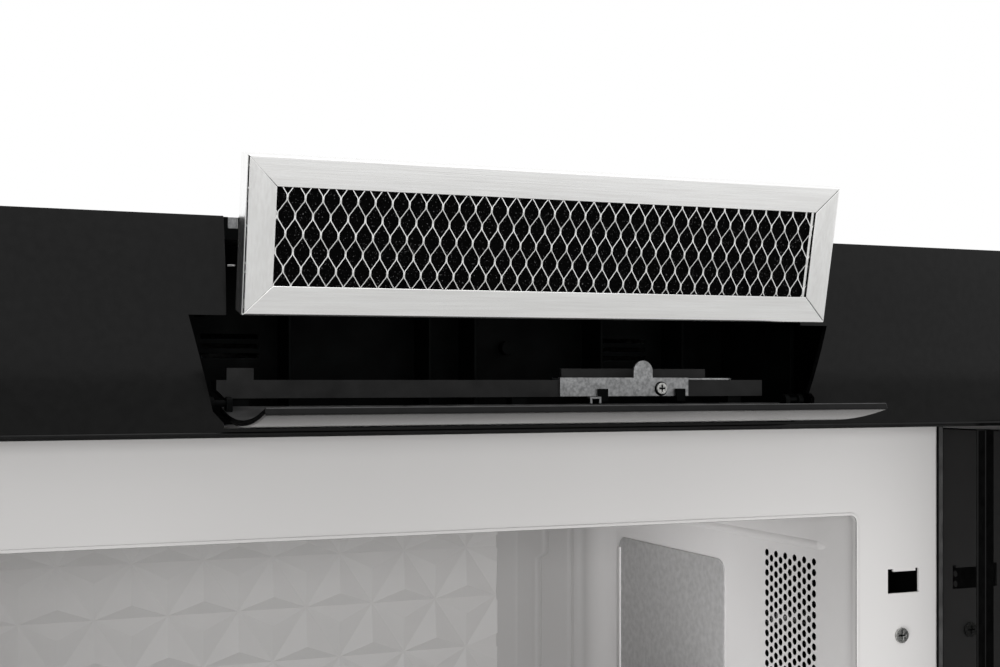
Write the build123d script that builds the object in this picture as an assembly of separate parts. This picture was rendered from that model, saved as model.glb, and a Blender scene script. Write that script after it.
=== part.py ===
from build123d import *
from math import cos, pi, sin, sqrt
import os

# Over the range microwave with its door, filter flap and top filter open.
# Heights below are measured from the underside of the case; the origin is on the wall,
# at the middle of the mounting plate. X runs to the right, Y to the wall, Z up. Millimetres.

# Case
WIDTH = 759.0
HALF = WIDTH / 2
HEIGHT = 419.0
ORIGIN_HEIGHT = 200.0
SHEET = 1.0
CASE_BACK = -12.0
CASE_TOP = 417.0

# Front plate and cavity
PLATE_FRONT = -363.0
PLATE_BACK = -361.5
PLATE_TOP = 325.0
OPENING_LEFT, OPENING_RIGHT = -329.0, 221.0
OPENING_BOTTOM, OPENING_TOP = 27.5, 267.5
CAVITY_LEFT, CAVITY_RIGHT = -331.0, 224.0
CAVITY_FLOOR, CAVITY_CEILING = 25.0, 270.5
CAVITY_BACK = -20.8
CAVITY_SHEET = 0.8
HOLE_PITCH_Y, HOLE_PITCH_Z, HOLE_R = 10.2, 6.46, 2.2
RELIEF_SIDE, RELIEF_ROW, RELIEF_PAD = 50.5, 38.4, 1.4
PLATE_SCREWS = [(252.6, 196.3), (252.6, 60.0), (-352.0, 250.0), (-352.0, 70.0)]

# Top vent panel: an arc of one radius, in which the flap closes flush
PANEL_BOTTOM = 319.5
PANEL_R = 190.0
PANEL_WALL = 3.0
PANEL_CREST = -409.0
PANEL_MID = (PANEL_BOTTOM + HEIGHT) / 2
FLAP_HALF = 149.8
FLAP_WALL = 3.2
FLAP_BOTTOM, FLAP_TOP = 325.2, 418.0
FLAP_AXIS_Y, FLAP_AXIS_Z = -399.3, 335.0
FLAP_PIN_R = 1.5
FLAP_EAR_R = 3.0

# Charcoal filter, leaning forward as it is drawn out
FILTER_W, FILTER_H, FILTER_T = 298.0, 68.5, 15.0
FILTER_RAIL = 13.0
FILTER_SKIN = 0.8
FILTER_AT = Location((-0.3, -433.3, 373.8), (12.3, -0.3, 0))
DIAMOND_W, DIAMOND_H, STRAND = 7.83, 15.5, 0.7

# Door, modelled shut and then swung open on its left edge
DOOR_LEFT, DOOR_RIGHT = -379.5, 276.5
DOOR_BOTTOM, DOOR_TOP = 2.0, 317.5
DOOR_FRONT, DOOR_BACK = -409.0, -367.0
DOOR_AXIS_X, DOOR_AXIS_Y = -372.0, -392.0
DOOR_OPEN_DEG = 100.0
DOOR_PIN_R = 3.0
RUNNING = 0.05
LATCH_X, LATCH_W = 254.4, 22.2
LATCH_Z = (86.0, 221.0)
LATCH_H, LATCH_EAR = 12.6, 1.6

# Control column
COLUMN_LEFT, BEZEL_LEFT = 278.0, 284.3
COLUMN_STEP, COLUMN_FRONT = -398.0, -412.0

# Turntable
TURN_X, TURN_Y = -54.0, -191.0
TRAY_R = 155.0
TRAY_Z = 36.5
SHAFT_R = 3.0

# Ventilation
BLOWER_Y, BLOWER_Z = -170.0, 343.0
SCROLL_R, WHEEL_R = 66.0, 52.0
DUCT_HALF_X, DUCT_FRONT, DUCT_REAR = 127.0, -130.0, -47.5
DAMPER_AXIS_Y, DAMPER_AXIS_Z = -122.0, 427.0
FAN_X, FAN_Z = 302.0, 190.0
GREASE_W, GREASE_FRONT, GREASE_REAR = 250.0, -250.0, -80.0
GREASE_X = (-215.0, 215.0)

os.makedirs("parts", exist_ok=True)


def slab(x0, x1, y0, y1, z0, z1):
    """Box between two opposite corners."""
    return Pos((x0 + x1) / 2, (y0 + y1) / 2, (z0 + z1) / 2) * Box(x1 - x0, y1 - y0, z1 - z0)


def rod_x(radius, x0, x1, y, z):
    return Pos((x0 + x1) / 2, y, z) * Rot(0, 90, 0) * Cylinder(radius, x1 - x0)


def rod_y(radius, x, y0, y1, z):
    return Pos(x, (y0 + y1) / 2, z) * Rot(90, 0, 0) * Cylinder(radius, y1 - y0)


def rod_z(radius, x, y, z0, z1):
    return Pos(x, y, (z0 + z1) / 2) * Cylinder(radius, z1 - z0)


def save(node, *shapes):
    """Write one node, moved from the underside's height to the origin's."""
    solids = [solid for shape in shapes for solid in shape.solids()]
    group = solids[0] if len(solids) == 1 else Compound(solids)
    export_step(Pos(0, 0, -ORIGIN_HEIGHT) * group, f"parts/{node}.step")


def swing_door(shape):
    """Turn a door piece from shut to open about the hinge line."""
    line = Axis((DOOR_AXIS_X, DOOR_AXIS_Y, 0), (0, 0, 1))
    return shape.rotate(line, -DOOR_OPEN_DEG)


def panel_y(radius, z):
    """Y of the vent panel's arc of the given radius at height z."""
    return PANEL_CREST + PANEL_R - sqrt(radius**2 - (z - PANEL_MID) ** 2)


def upright(face, front, rear):
    """Extrude a face drawn in X and Z between two depths."""
    return Pos(0, rear, 0) * Rot(90, 0, 0) * extrude(face, rear - front, dir=(0, 0, 1))


def net(width, height, thickness, cell_w, cell_h, strand):
    """Sheet in XZ with its outer side on Y=0, cut by staggered diamond gaps."""
    face = Rectangle(width, height)
    half_w = cell_w / 2 - strand
    half_h = cell_h / 2 - strand * cell_h / cell_w / 2
    gap = Polygon((half_w, 0), (0, half_h), (-half_w, 0), (0, -half_h), align=None)
    columns = int((width - 2 * strand) / cell_w)
    rows = int((height - 2 * strand) / cell_h)
    places = []
    for stagger in (0, 1):
        for i in range(columns - stagger):
            for j in range(rows - stagger):
                x = (i - (columns - 1 - stagger) / 2) * cell_w
                y = (j - (rows - 1 - stagger) / 2) * cell_h
                places.append(Pos(x, y))
    face -= [place * gap for place in places]
    return upright(face, 0, thickness)


# ---- Wall plate and case ------------------------------------------------------------

def wall_mount_plate():
    half, low, high, wall = 330.0, 60.0, 340.0, 1.5
    plate = slab(-half, half, -wall, 0, low, high)
    plate += slab(-half, half, CASE_BACK, -wall, low, low + wall)
    plate += slab(-half, half, CASE_BACK, -wall, high - wall, high)
    for side in (-1, 1):
        plate -= rod_y(4.0, side * 203.2, -wall - 1, 1, 300.0)
        plate -= Pos(side * 110, 0, 190) * Box(80, 4, 160)
        plate += Pos(side * 215, -15, low + wall / 2) * Box(30, 6, wall)
        plate += Pos(side * 215, -17.25, low + 6) * Box(30, 1.5, 12)
    return plate


def back_panel():
    panel = slab(-HALF + SHEET, HALF - SHEET, CASE_BACK - SHEET, CASE_BACK, SHEET, CASE_TOP - SHEET)
    for side in (-1, 1):
        panel -= Pos(side * 215, CASE_BACK, 67) * Box(34, 8, 18)
    return panel


def case_top():
    top = slab(-HALF, HALF, PLATE_FRONT, CASE_BACK, CASE_TOP - SHEET, CASE_TOP)
    top -= slab(-153, 153, PLATE_FRONT - 1, -345, CASE_TOP - 3, CASE_TOP + 3)
    top += slab(-137.8, -132.9, -345, -344, CASE_TOP, CASE_TOP + 8.2)
    top -= slab(-DUCT_HALF_X, DUCT_HALF_X, DUCT_FRONT, DUCT_REAR, CASE_TOP - 3, CASE_TOP + 3)
    for x in (-250, 250):
        top -= rod_z(3.2, x, -290, CASE_TOP - 3, CASE_TOP + 3)
    return top - rod_z(9.0, 330, -70, CASE_TOP - 3, CASE_TOP + 3)


def case_sides():
    low, high = SHEET, CASE_TOP - SHEET
    left = slab(-HALF, -HALF + SHEET, PLATE_BACK, CASE_BACK, low, high)
    right = slab(HALF - SHEET, HALF, PLATE_BACK, CASE_BACK, low, high)
    return left, right


def bottom_pan():
    pan = slab(-HALF, HALF, PLATE_BACK, CASE_BACK, 0, SHEET)
    for x in GREASE_X:
        half = GREASE_W / 2 + 1
        pan -= slab(x - half, x + half, GREASE_FRONT - 1, GREASE_REAR + 1, -2, 3)
    return pan - slab(-46, 46, -351, -309, -2, 3)


def front_plate():
    plate = slab(-HALF, HALF, PLATE_FRONT, PLATE_BACK, 0, PLATE_TOP)
    opening = Pos(
        (OPENING_LEFT + OPENING_RIGHT) / 2, PLATE_FRONT, (OPENING_BOTTOM + OPENING_TOP) / 2
    ) * Box(OPENING_RIGHT - OPENING_LEFT, 8, OPENING_TOP - OPENING_BOTTOM)
    plate -= fillet(opening.edges().filter_by(Axis.Y), 4.0)
    for z in LATCH_Z:
        left, right = LATCH_X - LATCH_W / 2, LATCH_X + LATCH_W / 2
        plate -= slab(left, right, PLATE_FRONT - 1, 0, z, z + LATCH_H)
        for x0, x1 in ((left, left + 4), (right - 2.4, right)):
            plate -= slab(x0, x1, PLATE_FRONT - 1, 0, z + LATCH_H, z + LATCH_H + LATCH_EAR)
    for x, z in PLATE_SCREWS:
        plate -= rod_y(2.0, x, PLATE_FRONT - 1, PLATE_BACK + 1, z)
    return plate


def plate_screws():
    screws = []
    for x, z in PLATE_SCREWS:
        head = rod_y(4.5, x, PLATE_FRONT - 1.5, PLATE_FRONT, z)
        head -= Pos(x, PLATE_FRONT - 1.5, z) * Box(5, 1.4, 0.9)
        head -= Pos(x, PLATE_FRONT - 1.5, z) * Box(0.9, 1.4, 5)
        screws.append(head + rod_y(1.95, x, PLATE_FRONT, PLATE_BACK + 5, z))
    return screws


# ---- Cooking cavity -----------------------------------------------------------------

def cavity_ceiling():
    left, right = CAVITY_LEFT - CAVITY_SHEET, CAVITY_RIGHT + CAVITY_SHEET
    return slab(left, right, PLATE_BACK, -20, CAVITY_CEILING, CAVITY_CEILING + CAVITY_SHEET)


def cavity_floor():
    left, right = CAVITY_LEFT - CAVITY_SHEET, CAVITY_RIGHT + CAVITY_SHEET
    floor = slab(left, right, PLATE_BACK, -20, CAVITY_FLOOR - CAVITY_SHEET, CAVITY_FLOOR)
    return floor - rod_z(10, TURN_X, TURN_Y, CAVITY_FLOOR - 3, CAVITY_FLOOR + 3)


def cavity_left_wall():
    left = CAVITY_LEFT - CAVITY_SHEET
    return slab(left, CAVITY_LEFT, PLATE_BACK, -20, CAVITY_FLOOR, CAVITY_CEILING)


def cavity_right_wall():
    """Side wall with its air holes, a pressed bead and the waveguide's window."""
    right = CAVITY_RIGHT + CAVITY_SHEET
    face = Rectangle(-20 - PLATE_BACK, CAVITY_CEILING - CAVITY_FLOOR)
    middle_y, middle_z = (PLATE_BACK - 20) / 2, (CAVITY_FLOOR + CAVITY_CEILING) / 2
    holes = []
    for column in range(11):
        y = -266.4 - column * HOLE_PITCH_Y / 2
        for row in range(19 - column % 2):
            z = 235 - (row + column % 2 / 2) * HOLE_PITCH_Z
            holes.append(Pos(y - middle_y, z - middle_z) * Circle(HOLE_R))
    face -= holes
    face -= Pos(-140 - middle_y, 165 - middle_z) * Rectangle(100, 75)
    frame = Plane((CAVITY_RIGHT, middle_y, middle_z), x_dir=(0, 1, 0), z_dir=(1, 0, 0))
    wall = frame * extrude(face, right - CAVITY_RIGHT)
    bead_r, proud, front, end = 4.0, 1.0, -322, -330
    bead_x = CAVITY_RIGHT + bead_r - proud
    bead = rod_y(bead_r, bead_x, front, -110, 245.5)
    bead += Pos(bead_x, (front + end) / 2, 245.5) * Rot(90, 0, 0) * Cone(
        bead_r, bead_r - proud, front - end
    )
    bead &= slab(CAVITY_RIGHT - 4, CAVITY_RIGHT, -340, -100, 240, 251)
    return wall + bead


def cavity_back_wall():
    """Rear wall, pressed with rows of low triangles that point up and down in turn."""
    wall = slab(CAVITY_LEFT, CAVITY_RIGHT, CAVITY_BACK, -20, CAVITY_FLOOR, CAVITY_CEILING)
    inset, margin = 5.0, 4.0
    pads = []
    for row in range(6):
        low, high = CAVITY_FLOOR + margin + row * RELIEF_ROW, CAVITY_FLOOR + (row + 1) * RELIEF_ROW
        for column in range(-12, 5):
            x = 10.5 + column * RELIEF_SIDE / 2
            tip, base = (high, low) if (row + column) % 2 else (low, high)
            half = RELIEF_SIDE / 2 - inset
            triangle = Polygon((x - half, base), (x + half, base), (x, tip), align=None)
            pads.append(upright(triangle, CAVITY_BACK - RELIEF_PAD, CAVITY_BACK))
    return wall + pads


def waveguide_cover():
    face = RectangleRounded(154, 112, 9)
    frame = Plane((CAVITY_RIGHT - 1, -139, 168), x_dir=(0, 1, 0), z_dir=(1, 0, 0))
    return frame * extrude(face, 1.0)


# ---- Top vent: panel, duct, guides, ledge and clip ------------------------------------

def panel_section(x0, x1, outer, inner):
    """Shell between two arcs of the panel, with top and bottom returns to the front plate."""
    low_in, high_in = PANEL_BOTTOM + PANEL_WALL, HEIGHT - PANEL_WALL
    front = ThreePointArc(
        (0, panel_y(outer, PANEL_BOTTOM), PANEL_BOTTOM),
        (0, panel_y(outer, PANEL_MID), PANEL_MID),
        (0, panel_y(outer, HEIGHT), HEIGHT),
    )
    back = ThreePointArc(
        (0, panel_y(inner, high_in), high_in),
        (0, panel_y(inner, PANEL_MID), PANEL_MID),
        (0, panel_y(inner, low_in), low_in),
    )
    top = Polyline(
        front @ 1, (0, PLATE_FRONT, HEIGHT), (0, PLATE_FRONT, high_in), back @ 0
    )
    bottom = Polyline(
        back @ 1, (0, PLATE_FRONT, low_in), (0, PLATE_FRONT, PANEL_BOTTOM), front @ 0
    )
    face = make_face([front, top, back, bottom])
    return Pos(x0, 0, 0) * extrude(face, x1 - x0, dir=(1, 0, 0))


def panel_end(x0, x1):
    arc = ThreePointArc(
        (0, panel_y(PANEL_R, PANEL_BOTTOM), PANEL_BOTTOM),
        (0, PANEL_CREST, PANEL_MID),
        (0, panel_y(PANEL_R, HEIGHT), HEIGHT),
    )
    rest = Polyline(arc @ 1, (0, PLATE_FRONT, HEIGHT), (0, PLATE_FRONT, PANEL_BOTTOM), arc @ 0)
    return Pos(x0, 0, 0) * extrude(make_face([arc, rest]), x1 - x0, dir=(1, 0, 0))


def vent_panel():
    """Full-width curved panel, notched for the flap, with a wing each side of the notch."""
    panel = panel_section(-HALF, HALF, PANEL_R, PANEL_R - PANEL_WALL)
    panel += panel_end(-HALF, -HALF + PANEL_WALL)
    panel += panel_end(HALF - PANEL_WALL, HALF)
    sweep, foot = 323.5, 331.3
    right = [
        (151.0, HEIGHT + 5), (151.3, 375), (167, 375), (155.5, 339.4),
        (162, 337), (162, foot), (153.5, foot), (153.5, sweep),
    ]
    left = [
        (-153.5, sweep), (-153.5, foot), (-156.2, foot), (-167, 375), (-151.3, 375),
        (-151.0, HEIGHT + 5),
    ]
    outline = Polygon(*right, *left, align=None)
    return panel - upright(outline, PANEL_CREST - 10, PLATE_FRONT)


def filter_duct():
    """Black plenum behind the panel's opening, with ribs and louvres on its rear wall."""
    low, high, rear = 325.0, 415.5, -300.0
    floor_front, flap_sweep, wall_front = -396.0, -386.0, -375.0
    duct = slab(-170, 170, floor_front, rear, low, low + 1.5)
    duct -= slab(-154, 154, floor_front - 1, flap_sweep, low - 1, low + 3)
    duct += slab(-170, -168, wall_front, rear, low, high)
    duct += slab(168, 170, wall_front, rear, low, high)
    duct += slab(-170, 170, rear - 1.5, rear, low, high)
    for x in (-102, -26, 0, 76, 128):
        duct += slab(x - 0.75, x + 0.75, rear - 26, rear, low, high)
    duct += rod_y(4, 27, rear - 8, rear, 363.5)
    for x in (-128, 102):
        for step in range(3):
            z = 357 + step * 5
            duct -= slab(x - 15, x + 15, rear - 3, rear + 3, z, z + 2.5)
    return duct


def filter_guides():
    """Upright rails each side of the filter, webbed to the duct's side walls."""
    rails = []
    for side in (-1, 1):
        rail = slab(150.5, 154, -394, -345, 376, 414)
        for z in (378, 394, 410):
            rail += slab(154, 168, -394, -345, z, z + 2)
        rails.append(rail if side > 0 else mirror(rail, Plane.YZ))
    return rails


def filter_ledge():
    """Bar across the duct that carries the clip, on three feet."""
    bar = slab(-151.5, 141, -388, -376, 337, 345.5)
    low_left = bar.edges().filter_by(Axis.Y).group_by(Axis.X)[0].sort_by(Axis.Z)[0]
    bar = chamfer(low_left, 4)
    bar += slab(-146.8, -134.3, -388, -384, 345.5, 351)
    for x in (-140, 0, 125):
        bar += slab(x - 4, x + 4, -386, -378, 326.5, 337)
    for x in (44.5, 89.5):
        bar += slab(x - 2.5, x + 2.5, -391.4, -389.2, 334.6, 341)
        bar += slab(x - 2.5, x + 2.5, -389.2, -386, 334.6, 337)
    return bar - rod_y(1.4, 78.5, -389, -380, 341.1)


def filter_clip():
    """Galvanised strip over the ledge, with one upright round-topped tab."""
    clip = slab(21, 95, -389.2, -388, 337.2, 346.7)
    clip += slab(21, 95, -388, -379, 345.5, 346.7)
    clip += slab(62.8, 73.8, -389.2, -388, 346.7, 350)
    clip += rod_y(5.5, 68.3, -389.2, -388, 350)
    return clip - rod_y(1.4, 78.5, -390, -387, 341.1)


def clip_screw():
    head = rod_y(3, 78.5, -391, -389.2, 341.1)
    head -= Pos(78.5, -391, 341.1) * Box(3.6, 1.6, 0.7)
    head -= Pos(78.5, -391, 341.1) * Box(0.7, 1.6, 3.6)
    return head + rod_y(1.35, 78.5, -389.2, -380.5, 341.1)


def hinge_ears(x0, x1, hole_r):
    """Plates each side that hold the flap's pins, standing on the duct's floor."""
    ears = []
    for side in (-1, 1):
        ear = slab(x0, x1, -396, -390, 326.5, 338)
        ear += slab(x0, x1, FLAP_AXIS_Y, -392, FLAP_AXIS_Z - FLAP_EAR_R, FLAP_AXIS_Z + FLAP_EAR_R)
        ear += rod_x(FLAP_EAR_R, x0, x1, FLAP_AXIS_Y, FLAP_AXIS_Z)
        ear -= rod_x(hole_r, x0 - 1, x1 + 1, FLAP_AXIS_Y, FLAP_AXIS_Z)
        ear += slab(x1, 168, -395, -391, 326.5, 330)
        ears.append(ear if side > 0 else mirror(ear, Plane.YZ))
    return ears


def filter_flap():
    """Curved flap, built shut in the panel's arc and laid open on its pins."""
    outer = ThreePointArc(
        (0, panel_y(PANEL_R, FLAP_BOTTOM), FLAP_BOTTOM),
        (0, panel_y(PANEL_R, 375), 375),
        (0, panel_y(PANEL_R, FLAP_TOP), FLAP_TOP),
    )
    inner_r = PANEL_R - FLAP_WALL
    inner = ThreePointArc(
        (0, panel_y(inner_r, FLAP_TOP), FLAP_TOP),
        (0, panel_y(inner_r, 375), 375),
        (0, panel_y(inner_r, FLAP_BOTTOM), FLAP_BOTTOM),
    )
    ends = [Line(outer @ 1, inner @ 0), Line(inner @ 1, outer @ 0)]
    face = make_face([outer, ends[0], inner, ends[1]])
    flap = Pos(-FLAP_HALF, 0, 0) * extrude(face, 2 * FLAP_HALF, dir=(1, 0, 0))
    for side in (-1, 1):
        low, high = sorted((side * 146.8, side * FLAP_HALF))
        ear = slab(
            low, high, -403.5, FLAP_AXIS_Y, FLAP_AXIS_Z - FLAP_EAR_R, FLAP_AXIS_Z + FLAP_EAR_R
        )
        ear += rod_x(FLAP_EAR_R, low, high, FLAP_AXIS_Y, FLAP_AXIS_Z)
        low, high = sorted((side * 149, side * 159))
        flap += ear + rod_x(FLAP_PIN_R, low, high, FLAP_AXIS_Y, FLAP_AXIS_Z)
    return flap.rotate(Axis((0, FLAP_AXIS_Y, FLAP_AXIS_Z), (1, 0, 0)), 90)


# ---- Charcoal filter ------------------------------------------------------------------

def filter_frame():
    """Channel bent round the filter's four edges, open over mesh and charcoal."""
    frame = slab(-FILTER_W / 2, FILTER_W / 2, 0, FILTER_T, 0, FILTER_H)
    skin = FILTER_SKIN
    frame -= slab(
        -FILTER_W / 2 + skin, FILTER_W / 2 - skin, skin, FILTER_T - skin, skin, FILTER_H - skin
    )
    rail = FILTER_RAIL
    frame -= slab(
        -FILTER_W / 2 + rail, FILTER_W / 2 - rail, -1, FILTER_T + 1, rail, FILTER_H - rail
    )
    return FILTER_AT * frame


def filter_meshes():
    width, height, wall = FILTER_W - 2 * FILTER_SKIN, FILTER_H - 2 * FILTER_SKIN, 0.6
    mesh = net(width, height, wall, DIAMOND_W, DIAMOND_H, STRAND)
    front = Pos(0, FILTER_SKIN, FILTER_H / 2) * mesh
    back = Pos(0, FILTER_T - FILTER_SKIN - wall, FILTER_H / 2) * mesh
    return FILTER_AT * front, FILTER_AT * back


def charcoal_bed():
    inset = FILTER_SKIN + 0.6
    bed = slab(
        -FILTER_W / 2 + inset, FILTER_W / 2 - inset, inset, FILTER_T - inset, inset,
        FILTER_H - inset,
    )
    return FILTER_AT * bed


# ---- Door -------------------------------------------------------------------------------

def door_frame():
    frame = slab(DOOR_LEFT, DOOR_RIGHT, DOOR_FRONT, DOOR_BACK, DOOR_BOTTOM, DOOR_TOP)
    frame -= slab(DOOR_LEFT + 3.5, DOOR_RIGHT - 3.5, DOOR_FRONT + 4, DOOR_BACK + 1,
                  DOOR_BOTTOM + 3.5, DOOR_TOP - 3.5)
    frame -= slab(-310, 200, DOOR_FRONT - 1, DOOR_FRONT + 5, 50, 270)
    frame -= rod_z(DOOR_PIN_R + RUNNING, DOOR_AXIS_X, DOOR_AXIS_Y, DOOR_BOTTOM - 1, DOOR_TOP + 1)
    return swing_door(frame)


def door_glass():
    return swing_door(slab(-377, 274, DOOR_FRONT - 4, DOOR_FRONT, 4.5, 315))


def door_choke():
    """Pressed inner pan that seals the door's edge, open round the window."""
    choke = slab(-358, 266, -405, -365, 12, 308)
    choke -= slab(-356.5, 264.5, -406, -366.5, 13.5, 306.5)
    choke -= slab(-315, 205, -370, -360, 45, 275)
    for z in LATCH_Z:
        choke -= slab(LATCH_X - 5, LATCH_X + 5, -370, -360, z - 1, z + LATCH_H + 1)
    return swing_door(choke)


def door_screen():
    return swing_door(slab(-330, 220, -367.3, -366.5, 30, 290))


def door_handle():
    bar = fillet(slab(228, 252, -455, -441, 40, 280).edges().filter_by(Axis.Z), 5)
    for z in (58, 262):
        bar += rod_y(8, 240, -445, DOOR_FRONT - 4, z)
    return swing_door(bar)


def latch_hooks():
    """Two hooks on one upright bar, which the latch spring lifts."""
    bar = slab(249, 259, -392, -384, 70, 250)
    for z in LATCH_Z:
        bar += slab(250, 258, -384, -344, z + 3.5, z + 8.5)
        bar += slab(250, 258, -350, -344, z + 8.5, z + 11.5)
    return swing_door(bar)


def door_hinges():
    """Upper and lower hinge plates with their pins, screwed to the front plate."""
    plates = []
    for low, pin_low, pin_high, flange_low, flange_high in (
        (0.2, 0.2, 9.0, 0.2, 20.0),
        (317.8, 309.0, 319.3, 300.0, 319.3),
    ):
        plate = slab(-379, -362, -400, PLATE_FRONT, low, low + 1.5)
        plate += slab(-379, -362, PLATE_FRONT - 1.2, PLATE_FRONT, flange_low, flange_high)
        plates.append(plate + rod_z(DOOR_PIN_R, DOOR_AXIS_X, DOOR_AXIS_Y, pin_low, pin_high))
    return plates


# ---- Control column -----------------------------------------------------------------------

def control_housing():
    wall, low, high = 2.5, DOOR_BOTTOM, DOOR_TOP
    body = slab(COLUMN_LEFT, HALF, COLUMN_STEP, PLATE_FRONT, low, high)
    body += slab(BEZEL_LEFT, HALF, COLUMN_FRONT, COLUMN_STEP, low, high)
    body -= slab(COLUMN_LEFT + wall, HALF - wall, COLUMN_STEP + wall, PLATE_FRONT + 1,
                 low + wall, high - wall)
    return body - slab(BEZEL_LEFT + wall, HALF - wall, COLUMN_FRONT + wall, COLUMN_STEP + 3,
                       low + wall, high - wall)


def control_glass():
    return slab(BEZEL_LEFT + 2, HALF - 1.5, COLUMN_FRONT - 4, COLUMN_FRONT, 4, 315)


def control_board():
    """Circuit board on four posts, with its display module in front."""
    board = slab(292, 372, -391.6, -390, 40, 290)
    for x in (297, 367):
        for z in (48, 282):
            board += rod_y(3, x, COLUMN_FRONT + 2.5, -391.6, z)
    board += slab(305, 360, COLUMN_FRONT + 2.5, -391.6, 240, 268)
    for z, depth in ((70, 12), (110, 18), (160, 9), (200, 14)):
        board += slab(305, 340, -390, -390 + depth, z - 12, z + 12)
    return board


# ---- Component bay ---------------------------------------------------------------------------

def component_shelf():
    return slab(226, HALF - SHEET, PLATE_BACK, CASE_BACK - SHEET, 14, 15.5)


def magnetron():
    """Finned anode in a steel yoke, with its antenna in the waveguide."""
    body = slab(264, 266.5, -180, -100, 128, 208) + slab(337, 340, -180, -100, 128, 208)
    body += slab(264, 340, -180, -100, 128, 130.5) + slab(264, 340, -180, -100, 205.5, 208)
    body += rod_x(20, 266.5, 337, -140, 168)
    for fin in range(8):
        x = 276 + fin * 7
        body += slab(x, x + 1, -176, -104, 130.5, 205.5)
    body += rod_x(8, 246, 264, -140, 168)
    return body


def waveguide():
    tube = slab(CAVITY_RIGHT + CAVITY_SHEET, 264, -195, -85, 126, 210)
    tube -= slab(CAVITY_RIGHT, 262.8, -193.8, -86.2, 127.2, 208.8)
    return tube - rod_x(8.5, 260, 266, -140, 168)


def hv_transformer():
    """Laminated core with one winding round its middle limb."""
    front, rear = -300, -232
    core = slab(262, 340, front, rear, 15.5, 85)
    for x in (274, 318):
        core -= slab(x, x + 10, front - 1, rear + 1, 32, 68)
    coil = slab(274.3, 327.7, front - 14, rear + 14, 32.3, 67.7)
    coil -= slab(284, 318, front - 0.3, rear + 0.3, 30, 70)
    return core, coil


def hv_capacitor():
    can = fillet(slab(345, 375, -230, -150, 15.5, 75).edges().filter_by(Axis.Z), 12)
    for y in (-205, -175):
        can += slab(357, 363, y - 1, y + 1, 75, 84)
    return can


def fan_shroud():
    plate = slab(232, 372, -60, -56, 110, 270) - rod_y(52, FAN_X, -62, -50, FAN_Z)
    strap = slab(297, 307, -56, -53, 112, 268)
    strap += rod_y(20, FAN_X, -56, -53, FAN_Z)
    plate += strap - rod_y(6, FAN_X, -60, -50, FAN_Z)
    return plate + slab(232, 372, -60, -40, 108, 110)


def fan_motor():
    motor = rod_y(18, FAN_X, -53, -20, FAN_Z)
    return motor - rod_y(SHAFT_R + RUNNING, FAN_X, -54, -30, FAN_Z)


def fan_blade():
    """Five pitched blades on a hub, with the motor's shaft."""
    fan = rod_y(12, FAN_X, -84, -66, FAN_Z) + rod_y(SHAFT_R, FAN_X, -66, -32, FAN_Z)
    for k in range(5):
        blade = Pos(28, 0, 0) * Rot(35, 0, 0) * Box(38, 1.5, 18)
        blade = Rot(0, 72 * k, 0) * blade
        fan += Pos(FAN_X, -75, FAN_Z) * blade
    return fan


def interlock_bracket():
    bracket = slab(266.5, 268, PLATE_BACK, -325, 70, 255)
    return bracket + slab(268, 276, PLATE_BACK, PLATE_BACK + 1.5, 70, 255)


def door_switches():
    switches = []
    for z in (84, 205, 232):
        switch = slab(268, 280, -352, -330, z, z + 18)
        switches.append(switch + slab(272, 275, -354, -352, z + 6, z + 10))
    return switches


def cord_gland():
    gland = rod_z(13, 330, -70, CASE_TOP, CASE_TOP + 3) + rod_z(8.9, 330, -70, 408, CASE_TOP)
    return gland - rod_z(4.5, 330, -70, 400, 430)


# ---- Turntable ---------------------------------------------------------------------------------

def turntable_motor():
    motor = rod_z(25, TURN_X, TURN_Y, 8, CAVITY_FLOOR - CAVITY_SHEET)
    return motor - rod_z(SHAFT_R + RUNNING, TURN_X, TURN_Y, 12, 30)


def drive_coupler():
    coupler = rod_z(SHAFT_R, TURN_X, TURN_Y, 13, 27) + rod_z(7, TURN_X, TURN_Y, 27, TRAY_Z)
    for k in range(3):
        angle = 2 * pi * k / 3
        coupler += rod_z(4, TURN_X + 8 * cos(angle), TURN_Y + 8 * sin(angle), 29, TRAY_Z)
    return coupler


def glass_tray():
    """Round glass tray with a raised rim, standing on the coupler and the rollers."""
    section = Polygon(
        (0, TRAY_Z), (TRAY_R - 14, TRAY_Z), (TRAY_R, 46), (TRAY_R, 50), (TRAY_R - 3, 50),
        (TRAY_R - 16, 42.5), (0, 42.5), align=None,
    )
    return Pos(TURN_X, TURN_Y, 0) * revolve(Plane.XZ * section, Axis.Z)


def roller_ring():
    ring = rod_z(88, 0, 0, 28, 33) - rod_z(82, 0, 0, 27, 34)
    wheels = []
    for k in range(3):
        turn = Rot(0, 0, 120 * k)
        ring += turn * rod_x(1.5, 87, 99, 0, 30.75)
        wheels.append(turn * (rod_x(5.4, 90, 98, 0, 30.75) - rod_x(1.55, 89, 99, 0, 30.75)))
    return [Pos(TURN_X, TURN_Y, 0) * piece for piece in [ring, *wheels]]


# ---- Ventilation -----------------------------------------------------------------------------------

def blower_housing():
    """Scroll over both wheels, rising into the exhaust opening."""
    half, wall = 150.0, 1.5
    shell = rod_x(SCROLL_R, -half, half, BLOWER_Y, BLOWER_Z)
    shell += slab(-DUCT_HALF_X - 2, DUCT_HALF_X + 2, DUCT_FRONT - 2, DUCT_REAR + 2, 343, 416)
    shell -= rod_x(SCROLL_R - wall, -half + wall, half - wall, BLOWER_Y, BLOWER_Z)
    shell -= slab(-DUCT_HALF_X, DUCT_HALF_X, DUCT_FRONT, DUCT_REAR, 345, 417)
    return shell - rod_x(40, -half - 1, half + 1, BLOWER_Y, BLOWER_Z)


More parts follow.
